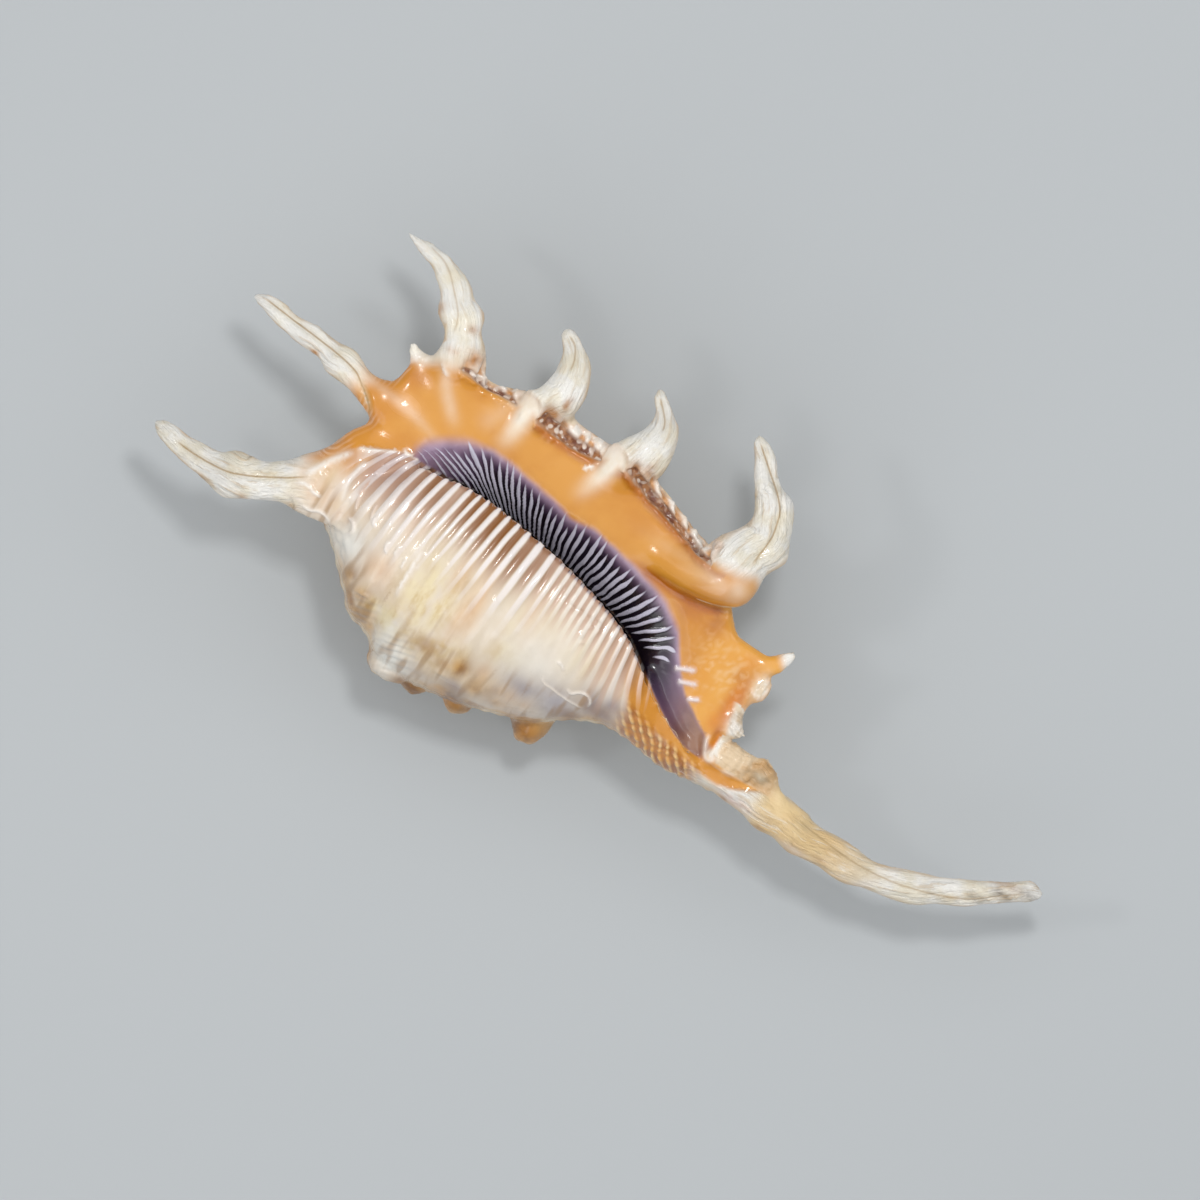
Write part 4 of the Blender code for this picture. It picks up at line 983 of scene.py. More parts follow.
# soft spots of each tint in plan: x, y, half sizes and strength
spots = {
    "posteriorGlaze": ((-50.5, -4.6, 3.0, 3.4, 0.85), (-53.2, -7.0, 2.0, 2.4, 0.6), (-48.4, -3.8, 1.6, 1.6, 0.6)),
    "peach": (
        (-52.0, -12.4, 3.6, 2.6, 0.85), (-55.5, -11.0, 3.0, 2.5, 0.55), (-47.0, -13.4, 1.4, 1.8, 0.6),
        (-38.0, -18.0, 3.4, 3.2, 0.65), (-21.8, -14.5, 1.8, 6.5, 0.8), (-25.5, -11.0, 1.5, 3.6, 0.5),
        (2.0, -11.0, 3.0, 4.5, 0.6), (-8.0, -23.6, 2.8, 1.4, 0.5), (-13.0, -10.0, 1.6, 4.0, 0.4),
        (-35.8, -9.5, 1.4, 4.0, 0.3), (-14.6, -23.0, 1.4, 2.0, 0.45), (6.0, -13.0, 2.2, 2.4, 0.6),
    ),
    # the paler orange of the lowest digit's root, with a painted sheen on its roll
    "paleLobeAndSheen": ((9.0, 9.2, 5.5, 1.6, 0.7), (12.6, 10.0, 2.0, 2.2, 1), (2.0, 9.8, 6.0, 1.2, 0.3)),
    "granule": ((17.5, -2.0, 5.0, 4.5, 0.5), (15.0, 1.0, 4.0, 3.0, 0.3)),
    "deepFan": ((21.6, -5.5, 1.2, 4.8, 1), (20.2, -1.5, 1.4, 1.6, 0.6), (21.8, -10.8, 0.8, 1.6, 0.9)),
    # partly painted shadow under the lowest digit's root, at x 7 to 13
    "deepLip": (
        (12.6, 3.4, 1.8, 2.0, 1), (7.5, 3.0, 3.0, 1.2, 1), (-48.5, 11.5, 2.6, 2.0, 0.7), (-50.5, 2.0, 1.6, 2.6, 0.5),
    ),
    "rust": (
        (-44.9, 22.6, 0.9, 0.8, 0.6), (-42.4, 18.7, 1.4, 1.5, 0.85), (-45.8, 18.0, 1.2, 0.8, 0.35),
        (-51.2, 22.7, 0.7, 1.0, 0.6), (-25.9, 20.4, 0.6, 1.4, 0.8), (-27.0, 18.0, 1.2, 1.3, 0.7),
        (-9.3, 18.6, 0.8, 1.4, 0.7), (-11.2, 17.4, 1.4, 0.9, 0.6), (-61.5, -19.3, 1.6, 0.6, 0.6),
        (-69.4, -20.0, 0.9, 0.4, 0.55), (-64.6, 6.3, 0.9, 0.4, 0.8), (-33.4, 17.4, 1.2, 0.6, 0.4),
        (6.0, 14.2, 1.0, 0.8, 0.4), (73.8, -7.2, 2.4, 0.7, 0.6), (46.5, -19.6, 1.6, 0.5, 0.35),
        (35.5, -20.4, 1.0, 0.4, 0.6), (28.5, -19.4, 1.0, 0.4, 0.5),
    ),
    "honey": (
        (-28.0, -17.5, 5.8, 7.5, 1.0), (-32.6, -7.0, 1.2, 3.2, 0.7), (-32.0, -23.5, 3.0, 3.0, 1.0),
        (-22.0, -23.0, 4.0, 2.8, 1.0), (-14.0, -18.5, 3.5, 3.0, 0.45), (-44.5, -11.0, 3.5, 3.0, 0.4),
        (-15.0, -13.0, 3.0, 5.0, 0.35), (-10.0, -9.5, 5.0, 3.0, 0.4), (-1.5, -12.0, 4.0, 4.0, 0.5),
        (-54.0, -9.0, 3.2, 2.6, 1.0), (-36.0, -23.0, 3.0, 2.4, 0.8), (-26.0, -24.5, 9.0, 3.0, 0.8),
    ),
    # a translucent grey, and painted shade beside the base's ribs at x 2 to 6
    "mistAndShade": (
        (-3.0, -20.8, 5.2, 2.6, 1.0), (-8.0, -21.4, 4.0, 2.2, 0.8), (2.5, -17.6, 2.0, 2.4, 0.8),
        (5.5, -16.4, 1.8, 1.6, 0.9), (5.0, -18.4, 2.4, 1.4, 0.8), (-17.6, -27.0, 2.2, 1.0, 0.9),
        (-24.0, -28.2, 3.0, 1.2, 0.35),
    ),
    "pearl": (
        (-28.6, -28.4, 3.2, 3.4, 1.0), (-44.0, -16.6, 3.4, 2.4, 0.8), (-9.0, -17.0, 5.0, 3.0, 0.4),
        (-30.8, -26.6, 1.6, 3.0, 0.8), (-4.0, -25.2, 3.6, 0.8, 0.8),
    ),
    "tan": (
        (-38.2, -22.6, 2.6, 1.8, 0.6), (-35.4, -24.8, 1.8, 1.4, 0.6), (-18.4, -24.0, 1.8, 2.2, 0.85),
        (-20.5, -25.0, 2.4, 1.4, 0.6), (-14.5, -25.4, 2.0, 1.8, 0.7), (-10.6, -25.4, 1.6, 1.8, 0.55),
        (-41.0, -20.6, 1.4, 1.6, 0.8), (-25.0, -24.0, 3.0, 1.6, 0.5), (-21.0, -26.0, 6.0, 2.2, 0.3),
        (-12.0, -25.0, 5.0, 2.4, 0.5), (-33.0, -20.5, 4.0, 2.0, 0.2),
    ),
    "shaded": ((4.0, -18.4, 3.4, 2.0, 0.8), (7.0, -17.0, 2.0, 1.4, 0.5), (0.5, -21.2, 2.2, 1.0, 0.7)),
    "spiral": ((-28.6, -28.0, 3.0, 3.0, 1.0), (-36.5, -24.0, 3.0, 2.4, 0.6)),
    "knobBrown": (
        (-4.2, -27.2, 4.0, 2.2, 1.0), (-16.8, -29.3, 3.4, 1.8, 1.0), (-23.4, -31.0, 3.2, 1.0, 0.9),
        (0.5, -22.5, 1.6, 1.6, 0.7),
    ),
    "slate": (
        (74.5, -9.0, 2.2, 0.8, 0.8), (71, -11.6, 2.0, 0.7, 0.5), (77.5, -7.0, 2.0, 1.2, 0.5),
        (66, -14.6, 4.0, 0.6, 0.25),
    ),
    "pinkEdge": ((30, -19.0, 5.0, 0.9, 0.8), (42, -20.6, 3.0, 0.7, 0.6)),
    "saffron": ((21.4, -6.0, 1.3, 4.2, 1), (20.6, -9.6, 1.3, 1.8, 0.6), (20.4, 1.0, 1.6, 1.6, 0.4)),
    "glow": ((-49.5, 1.0, 3.0, 4.0, 0.8), (-50.5, -4.0, 3.0, 3.0, 0.8), (-47.5, 10.5, 2.4, 2.0, 0.5)),
    "dull": ((-48.0, 6.8, 3.4, 2.0, 1.0), (-47.4, 12.0, 2.0, 1.6, 0.6)),
    "cup": ((31.6, -13.6, 1.9, 1.1, 0.9),),
}
# lines of a tint: the path, the half width, and over which shares of it the line fades in and out
lines = {
    "rootOrange": (((-49.5, -0.5), (-52.6, -3.8), (-55.0, -7.0), (-57.6, -9.6)), 1.7, 0, 0.4),
    "upperRib": (((-32.4, 7.2), (-31.2, 11), (-30.9, 15), (-31.0, 19.5)), 1.5, 0.75),
    "middleRib": (((-17.8, 7.2), (-16.4, 11), (-15.2, 15), (-14.4, 19.5)), 1.4, 0.75),
    "spireRib": (((-37, 4.2), (-42, 5.2), (-46, 6.3), (-50.5, 7.0), (-55, 7.4)), 0.8, 0.5),
    "shoulderRib": (((-38, 7.0), (-41, 9.8), (-44, 13), (-46, 17)), 1.1, 0.4),
    "smallRib": (((-36.5, 9.0), (-34.2, 13.5), (-33.6, 16)), 1.6, 0.5),
    # painted shadow under the lowest digit's roll
    "shadowUnderRoll": (((-6, 5.2), (-1, 4.6), (4, 4.2), (8, 4.2), (11, 5.0), (13.4, 6.4)), 0.9, 0.3, 0.1),
    "notchHollow": (((22.9, -10.6), (22.3, -12.2), (22.2, -14.2)), 0.6, 0.2, 0.2),
    "curlRim": (((20.9, -11.6), (21.1, -13.2), (21.9, -14.9), (22.9, -15.6), (23.7, -14.8)), 0.35, 0.15, 0.1),
}

# the orange glaze of the lip and the base
notchX = lookUp(glaze["notch"], y)
onLip = seen * ease(y - edgeY, -0.2, 0.5)
glazed = ease(border + 0.35 * midNoise - y, -0.5, 0.5)
glazed = np.where(x < -43, ease(border + 1.2 * midNoise - y, -1.8, 1.5), glazed)
archGlaze = np.max([ease(-gap, -0.1, 0.5) for gap in archGaps()], axis=0)
glazed = np.maximum(glazed, archGlaze)
amberLip = onLip * glazed * ease(x, -62, -55) * (1 - bare)
amberLip = np.where(x > 7, onLip * (y < 17) * (1 - bare), amberLip)
amberLip *= 1 - ease(x - notchX + 0.4 * midNoise, -0.3, 0.5)
amberBase = facing * ease(y - baseBorder + 0.5 * midNoise, -1.5, 0.0) * ease(x, 1, 8) * (1 - ease(x, 33, 36))
amberBase *= ease(np.where(x > 20, wallY, edgeY + 0.6) - y, -0.3, 0.3)
rootOrange = 0.85 * line(*lines["rootOrange"]) * (1 - bare)
posterior = seen * patch(spots["posteriorGlaze"])
marks["amber"] = limit(np.maximum.reduce([
    amberLip, amberBase, posterior * (y <= edgeY + 0.5), rootOrange * facing]))
marks["peach"] = seen * patch(spots["peach"])
marks["peach"] *= np.clip(0.85 + 0.8 * speckle(points * (1, 0.15, 0.3), 1.2, 9.0), 0, 1.15)
ribs = np.maximum.reduce([
    line(*lines["upperRib"]),
    line(*lines["middleRib"]),
    # the lowest digit's root: paler orange with a painted sheen
    0.4 * seen * patch(spots["paleLobeAndSheen"]),
    0.2 * line(*lines["spireRib"]),
    0.3 * line(*lines["shoulderRib"]),
    0.15 * line(*lines["smallRib"]),
    0.9 * archGlaze * ease(y, 14.5, 17.5),
])
marks["rib"] = onLip * limit(1.15 * ribs) * (1 - bare)
marks["granule"] = onLip * patch(spots["granule"]) * ease(speckle(points, 0.75, 3.0), -0.1, 0.4)
# a deeper orange on the fan, with painted shade where the glaze curves down into the crevice and painted shadow under
# the lowest digit's roll
shadeAtBorder = 0.85 * ease(y - border, -2.0, -0.5) * (1 - 0.85 * ribs) * (x > -28.6) * (x < 9.5) * glazed
marks["deep"] = limit(onLip * np.maximum.reduce([
    0.9 * patch(spots["deepFan"]), shadeAtBorder, line(*lines["shadowUnderRoll"]), 0.6 * patch(spots["deepLip"])]))

# outside the glaze the lip is crumpled: a dark crevice with pale beads and painted highlights, then a streaked frill
creviceWidth = lookUp(glaze["creviceWidth"], x)
beyond = y - border - 0.35 * midNoise
gapsBetween = ease(creviceWidth, 0.1, 0.6) * (x > -43.6) * (x < 9.6)
crumple = 0.55 * midNoise + 0.6 * fineNoise
pastCrevice = ease(beyond, creviceWidth * 0.7, creviceWidth + 0.4)
crevice = seen * gapsBetween * ease(beyond, -0.25, 0.2) * (1 - pastCrevice)
frill = facing * gapsBetween * pastCrevice * (1 - ease(beyond, glaze["frillWidth"], glaze["frillWidth"] + 1))
frill = frill * (1 - bare * onDigit * ease(y, 17.2, 18.6))
marks["crevice"], marks["frill"] = limit(crevice), limit(frill)
frillPhase = x / 2.7 + 0.14 * y + 0.75 * speckle(points * (1, 0.2, 0.2), 3.4, 6.0) + 0.3 * midNoise
frillWave = np.cos(2 * math.pi * frillPhase) + 0.5 * fineNoise
frillWave += 1.1 * ease(beyond, creviceWidth + 0.2, creviceWidth + 1.8)
marks["frillPale"] = limit(frill + 0.3 * crevice) * ease(frillWave, -0.6, 0.7)
marks["rust"] = limit(seen * patch(spots["rust"]) * (1 + 0.8 * fineNoise))

# the callus, and its lower edge in plan
lowerEdge = lookUp((
    (-46, -18), (-42, -20.5), (-38, -24.2), (-34, -26.2), (-31, -30.5), (-28, -32), (-22, -29.2), (-18, -29.0),
    (-12, -27.8), (-7, -26.6), (-3, -25.2), (0, -22), (3, -20), (7, -19)), x)
streaks = speckle(points * (1, 0.15, 0.3), 1.4, 3.0)
uneven = np.clip(0.85 + 0.9 * streaks + 0.5 * fineNoise * (drop > 12), 0, 1.2)
onBody = seen * ease(edgeY - y, -0.3, 0.4) * ease(x, -58, -50) * (1 - ease(x, 5, 9))
marks["honey"] = onBody * limit(patch(spots["honey"]) * (1 + 0.4 * lowNoise) * uneven)
marks["mistAndShade"] = onBody * limit(patch(spots["mistAndShade"]) * (1 + 0.3 * midNoise))
marks["pearl"] = limit(facing * patch(spots["pearl"]) * (1 + 0.25 * midNoise))
rimTan = ease(lowerEdge + 1.4 * midNoise + 1.6 - y, 0, 2.4) * ease(x, -46, -42) * (1 - ease(x, 5, 8))
rimTan *= 1 - 0.9 * bump((x + 29) / 3.4, 1)
marks["tan"] = limit(np.maximum(rimTan * facing, onBody * patch(spots["tan"]) * (1 + 0.5 * midNoise)))
marks["shaded"] = facing * patch(spots["shaded"]) * ease(z, 14, 18)
lowGrowth = ease(lowerEdge + 9 + 2 * lowNoise - y, 0, 5)
marks["growth"] = onBody * limit(lowGrowth + 0.35 * ease(-x, 20, 24) * ease(x, -38, -34) * ease(drop, 9, 13))
marks["knobBrown"] = patch(spots["knobBrown"]) * (y < lowerEdge + 2.0)

# the base, the canal and the notch
marks["baseRibs"] = facing * ease(baseBorder - y + 0.6 * midNoise, -1.2, 0.9) * ease(x, 6.0, 9.5)
marks["baseRibs"] *= 1 - ease(x, 20, 25)
marks["wheat"] = ease(x, 31, 35) * (1 - ease(x, 44, 60)) * facing
marks["slate"] = facing * limit(patch(spots["slate"]) * (1 + 0.6 * fineNoise))
marks["pinkEdge"] = facing * patch(spots["pinkEdge"])
marks["bead"] = facing * limit(
    1.35 * bump((x - 24.1) / 1.9, 1) ** 2 * bump((y + 1.4) / 2.6, 1) ** 1.5
    + 1.5 * bump((x - 24.1) / 2.2, 1) ** 2 * bump((y + 8.2) / 2.8, 1) ** 1.5
    + bump((x - 22.9) / 1.3, 1) * bump((y + 14.6) / 0.9, 1))
marks["saffron"] = facing * limit(np.maximum(line(*lines["notchHollow"]), patch(spots["saffron"])))
marks["glow"] = onLip * (1 - bare) * np.maximum(ease(x, 12, 15) * (y < 8), patch(spots["glow"]))
marks["dull"] = onLip * patch(spots["dull"])
marks["cup"] = facing * patch(spots["cup"])
marks["notchFrill"] = facing * ease(x - notchX + 0.4 * midNoise, -0.2, 0.6) * ease(z, 23.6, 24.2)
marks["notchFrill"] *= ease(-y, 10.2, 10.9) * ease(y, -15.7, -15.2) * (1 - ease(x, 33, 36))

# the lip's margin towards the spire, with its growth layers; and the back
marginGap, _ = stroke([(section[2], section[3]) for section in lip["sections"][:7]], 3.0, 60)
marks["marginGap"] = marginGap - 0.35 + 0.3 * midNoise + 0.12 * fineNoise
marks["margin"] = facing * (x < -46) * (y > -9) * ease(0.93 - up, 0, 0.22) * (1 - bare) * (0.7 + 0.5 * midNoise)
marks["margin"] *= (1 - bump((y - 6.3) / 2.4, 1)) * (1 - ease(y, 14, 15.5))
bareBack = ease(-up, -0.1, 0.4)
marks["back"] = np.where(onDigit & (bare > 0.3), bareBack, np.maximum(1 - facing, 1 - ease(z, 9, 13)))

# the fine white runs on the callus, and painted highlight streaks as white lines on the callus and the lip: lines with
# their half width and height
runsAndHighlights = (
    (((-50.6, -3.6), (-50.2, -2.8), (-48.6, -2.1), (-46.2, -0.9), (-44.2, 0.1)), 0.28, 0.32),
    (((-50.4, -3.4), (-51.6, -5.0), (-53.2, -7.2), (-54.4, -9.4), (-55.8, -11.4)), 0.5, 0.22),
    (((-48.0, -3.4), (-48.8, -6.4), (-48.8, -9.0), (-47.8, -12.0)), 0.4, 0.3),
    (((-46.2, -7.6), (-46.1, -9.6), (-45.5, -11.8)), 0.22, 0.3),
    (((-56.2, -12.6), (-54.2, -12.2), (-52.6, -12.6), (-51.0, -12.5)), 0.26, 0.25),
    (((-57.5, -15.2), (-54.5, -14.8), (-52.4, -15.3), (-50.0, -14.6), (-48.6, -14.9), (-47.4, -16.0)), 0.24, 0.25),
    (((-46.5, -13.0), (-44.9, -13.2), (-44.2, -14.6), (-45.2, -16.0)), 0.3, 0.25),
    (((-44.4, 0.9), (-43.4, 0.5), (-42.2, 0.8)), 0.22, 0.25),
    (((-44.0, 0.4), (-42.6, 0.2), (-41.2, 0.7)), 0.18, 0.2),
    (((-42.2, -10.6), (-42.0, -11.6), (-41.2, -12.2)), 0.24, 0.3),
    (((-43.2, -8.6), (-43.0, -10.4), (-42.6, -11.6)), 0.2, 0.25),
    (((-38.4, -12.6), (-38.3, -14.0), (-37.4, -14.8)), 0.22, 0.25),
    (((-36.6, -12.2), (-36.6, -14.4)), 0.18, 0.22),
    (((-34.6, -13.4), (-34.6, -15.6)), 0.18, 0.22),
    (((-33.1, -10.4), (-33.1, -16.0), (-32.8, -20.4)), 0.22, 0.2),
    (((-5.9, -14.8), (-5.0, -14.9), (-4.0, -15.6)), 0.2, 0.25),
    (((-6.5, -17.6), (-5.8, -18.8), (-4.0, -19.0), (-2.0, -19.2), (0.4, -19.2), (1.9, -19.0)), 0.16, 0.16),
    (((-2.4, -17.8), (-1.2, -18.0), (-0.2, -17.3), (1.2, -16.9), (2.1, -17.6), (2.2, -18.8)), 0.2, 0.3),
    (((-46.4, 15.9), (-45.2, 14.7), (-44.2, 14.5)), 0.24, 0.35),
    (((-18.5, 13.1), (-17.6, 14.0), (-16.9, 14.6)), 0.26, 0.35),
    (((-41.6, 17.0), (-40.6, 16.6), (-39.6, 17.0), (-38.2, 16.2)), 0.26, 0.4),
    (((-50.9, 12.9), (-50.3, 14.2), (-49.2, 14.9)), 0.22, 0.25),
    (((-48.6, 12.8), (-49.0, 14.0), (-48.4, 15.6)), 0.18, 0.2),
    (((-54.8, 5.6), (-53.8, 4.6), (-52.7, 3.4)), 0.18, 0.2),
)
whiteRunsAndHighlights, runRelief = np.zeros(len(points)), np.zeros(len(points))
for path, halfWidth, high in runsAndHighlights:
    weight = line(path if len(path) > 2 else (path[0], np.add(*path) / 2, path[1]), halfWidth, 0.2, 0.2)
    whiteRunsAndHighlights, runRelief = np.maximum(whiteRunsAndHighlights, weight), np.maximum(runRelief, high * weight)
# white runs, and painted highlight streaks
marks["whiteRunAndHighlight"] = np.maximum(seen * whiteRunsAndHighlights, 0.6 * line(*lines["curlRim"]) * facing)

# drips and beads of glaze: x, y, half sizes and height
blobs = (
    (-8.3, -6.4, 0.7, 0.4, 0.3), (-6.8, -6.3, 0.6, 0.45, 0.3), (-5.3, -6.5, 0.5, 0.4, 0.25),
    (-4.0, -7.4, 0.35, 0.3, 0.3), (-2.7, -7.4, 0.3, 0.6, 0.28), (-3.4, -6.4, 0.6, 0.25, 0.28),
    (-4.8, -9.4, 0.5, 0.5, 0.25), (-4.0, -10.2, 0.4, 0.4, 0.2), (-27.6, -5.4, 0.35, 1.7, 0.2),
    (-25.1, -5.0, 0.35, 1.6, 0.2), (-22.9, -6.6, 0.3, 1.4, 0.2), (-20.9, -5.0, 0.35, 1.8, 0.2),
    (-14.9, -5.0, 0.4, 1.5, 0.2), (-46.4, -15.4, 1.2, 0.5, 0.3), (-53.2, -9.6, 0.9, 0.4, 0.3),
    (-52.6, -8.6, 0.5, 0.3, 0.25), (-54.6, -10.6, 0.8, 0.4, 0.3), (-50.6, -10.0, 0.4, 0.3, 0.2),
    (-34.0, 14.6, 0.5, 0.5, 0.3), (-38.6, 14.6, 0.6, 0.45, 0.3), (-40.4, 15.6, 0.6, 0.4, 0.3),
    (-49.7, 9.8, 0.45, 0.9, 0.35), (-31.2, 15.2, 0.3, 1.0, 0.2), (-43.6, 14.4, 0.5, 0.4, 0.3),
    (-23.8, 14.9, 0.3, 0.45, 0.35), (-37.2, -22.2, 1.6, 0.3, 0.2), (-20.4, -26.4, 1.4, 0.4, 0.2),
    (23.1, -3.2, 0.4, 0.9, 0.3),
)
# heights of the relief in millimetres, and the length of one turn of each pattern that repeats
texture = {
    "creviceDepth": 1.0,
    "crumple": 0.8,
    "frillWave": 0.4,
    "archRim": 0.3,
    "borderBead": 0.35,
    "seamDepth": 0.38,
    "seamLip": 0.12,
    "strands": 0.16,
    "baseBeads": 0.42,
    "ribPitch": 1.6,
    "beadPitch": 1.25,
    "cords": 0.20,
    "cordPitch": 2.3,
    "growth": 0.16,
    "spiral": 0.11,
    "spiralPitch": 0.95,
    "notchFrill": 0.42,
    "beadRings": 0.08,
    "beadRingPitch": 0.7,
    "wrinkles": 0.22,
}


def wave(turns):
    return np.cos(2 * math.pi * turns)


print("stage: relief")
relief = seen * runRelief
relief += marks["ridge"] * (ridges["height"] * (0.5 + 0.5 * wave(marks["ridgePhase"])) ** 1.3 - 0.1)
toothShape = limit(wave(toothPhase) + 1.5 * marks["tooth"] - 0.9)
relief += onWall * teeth["height"] * toothShape * (1 - 0.7 * ease(x, 4, 9))
relief += seen * 0.25 * marks["dash"]

# crevice, frill and the glaze's border
relief -= texture["creviceDepth"] * crevice + 0.3 * frill
relief += (crevice + 0.5 * frill) * texture["crumple"] * np.clip(crumple, -0.3, 1)
relief += (frill + 0.4 * crevice) * texture["frillWave"] * wave(frillPhase)
relief += texture["borderBead"] * seen * gapsBetween * bump(beyond + 0.7, 0.6) * (1 + 0.8 * fineNoise)
archRims = [bump(gap + 0.2, 0.45) * (y > arch[1] - 1) for gap, arch in zip(archGaps(), glaze["arches"])]
relief += texture["archRim"] * seen * np.max(archRims, axis=0)

# seams and strands of the digits
relief -= seamWeight * facing * texture["seamDepth"] * bump(seamGap, 0.55)
relief += seamWeight * facing * texture["seamLip"] * bump(np.abs(seamGap) - 1.1, 0.5)
strands = speckle(np.column_stack([across, along * 0.14, np.zeros(len(points))]), 1.3, 2.0)
relief += texture["strands"] * strands * marks["strand"]
relief += (0.10 * midNoise + 0.05 * fineNoise) * (1 - seen)

# the roll of the lowest digit's root
rollGap, rollAlong = stroke(glaze["roll"], 5.0, 50)
inPlace = seen * ease(rollAlong, 0, 0.4) * ease(1 - rollAlong, 0, 0.08)
roll = ease(rollGap, -0.2, 1.8) * (1 - ease(rollGap, 2.5, 4.8)) - bump(rollGap + 0.6, 0.7)
relief += inPlace * glaze["rollHeight"] * roll

for spotX, spotY, halfX, halfY, high in blobs:
    relief += seen * high * bump((x - spotX) / halfX, 1) * bump((y - spotY) / halfY, 1)

# beaded ribs on the base; cords and growth lines on the back and the lower edge
ribPhase = (x + 0.86 * y) / texture["ribPitch"] + 0.3 * midNoise + 0.3 * lowNoise
beadPhase = (x * 0.25 - y) / texture["beadPitch"] + 0.45 * midNoise + 0.2 * fineNoise
beads = (0.5 + 0.5 * wave(ribPhase)) * (0.65 + 0.35 * wave(beadPhase))
marks["ribPhase"], marks["beadPhase"] = ribPhase, beadPhase
relief += marks["baseRibs"] * (texture["baseBeads"] * beads - 0.1)
midY, midZ, halfY, halfZ = whorlAt(x)
turn = np.arctan2((y - midY) / halfY, (z - midZ) / halfZ)
onWhorl = (1 - facing) * (x < 26) * (np.hypot((y - midY) / halfY, (z - midZ) / halfZ) < 1.45)
relief += onWhorl * texture["cords"] * (0.5 + 0.5 * wave(x / texture["cordPitch"] + 0.10 * lowNoise)) ** 1.5
relief += onWhorl * 0.07 * np.cos(turn * 46 + 2.2 * lowNoise)
growthWave = speckle(points * (1, 0.12, 0.12), 1.0, 8.0)
marks["growthWave"] = growthWave
relief += marks["growth"] * texture["growth"] * growthWave
spiralPhase = 2 * math.pi * (y * 0.9 - x * 0.25) / texture["spiralPitch"] + 1.2 * midNoise
relief += limit(facing * patch(spots["spiral"])) * texture["spiral"] * np.cos(spiralPhase)
relief += onBody * (0.10 * lowNoise + 0.05 * midNoise + 0.12 * streaks)
relief += onLip * (1 - onWall) * 0.06 * lowNoise
relief += marks["notchFrill"] * texture["notchFrill"] * speckle(points * (1.6, 0.7, 1), 1.5, 4.0)
relief += marks["bead"] * texture["beadRings"] * wave(x / texture["beadRingPitch"])
leftWrinkles = ease(-x, 40, 44) * ease(-y, 11, 14) * ease(x, -50, -47)
relief += seen * leftWrinkles * texture["wrinkles"] * speckle(points * (1.2, 0.5, 1), 1.6, 12.0)

points = points + normals * relief[:, None]
points[:, 2] = np.maximum(points[:, 2], 0)
box = np.array(cadBox) / mm
writePoints(shellMesh, np.clip(points, box[0], box[1]))
for name, values in marks.items():
    layer = shellMesh.attributes.new(name, "FLOAT", "POINT")
    layer.data.foreach_set("value", np.asarray(values, np.float32))
for face in shellMesh.polygons:
    face.use_smooth = True
shellMesh.name = "scorpionConch"
shell = bpy.data.objects.new("scorpionConch", shellMesh)
bpy.context.scene.collection.objects.link(shell)


def shade(hexColour):
    # sRGB hex to linear RGBA
    parts = [int(hexColour[k : k + 2], 16) / 255 for k in (1, 3, 5)]
    return [c / 12.92 if c <= 0.04045 else ((c + 0.055) / 1.055) ** 2.4 for c in parts] + [1.0]


def addNode(tree, kind, links=None, **settings):
    node = tree.nodes.new(kind)
    for name, value in settings.items():
        setattr(node, name, value)
    for socket, source in (links or {}).items():
        if isinstance(source, bpy.types.NodeSocket):
            tree.links.new(source, node.inputs[socket])
        else:
            node.inputs[socket].default_value = source
    return node


print("stage: colours")
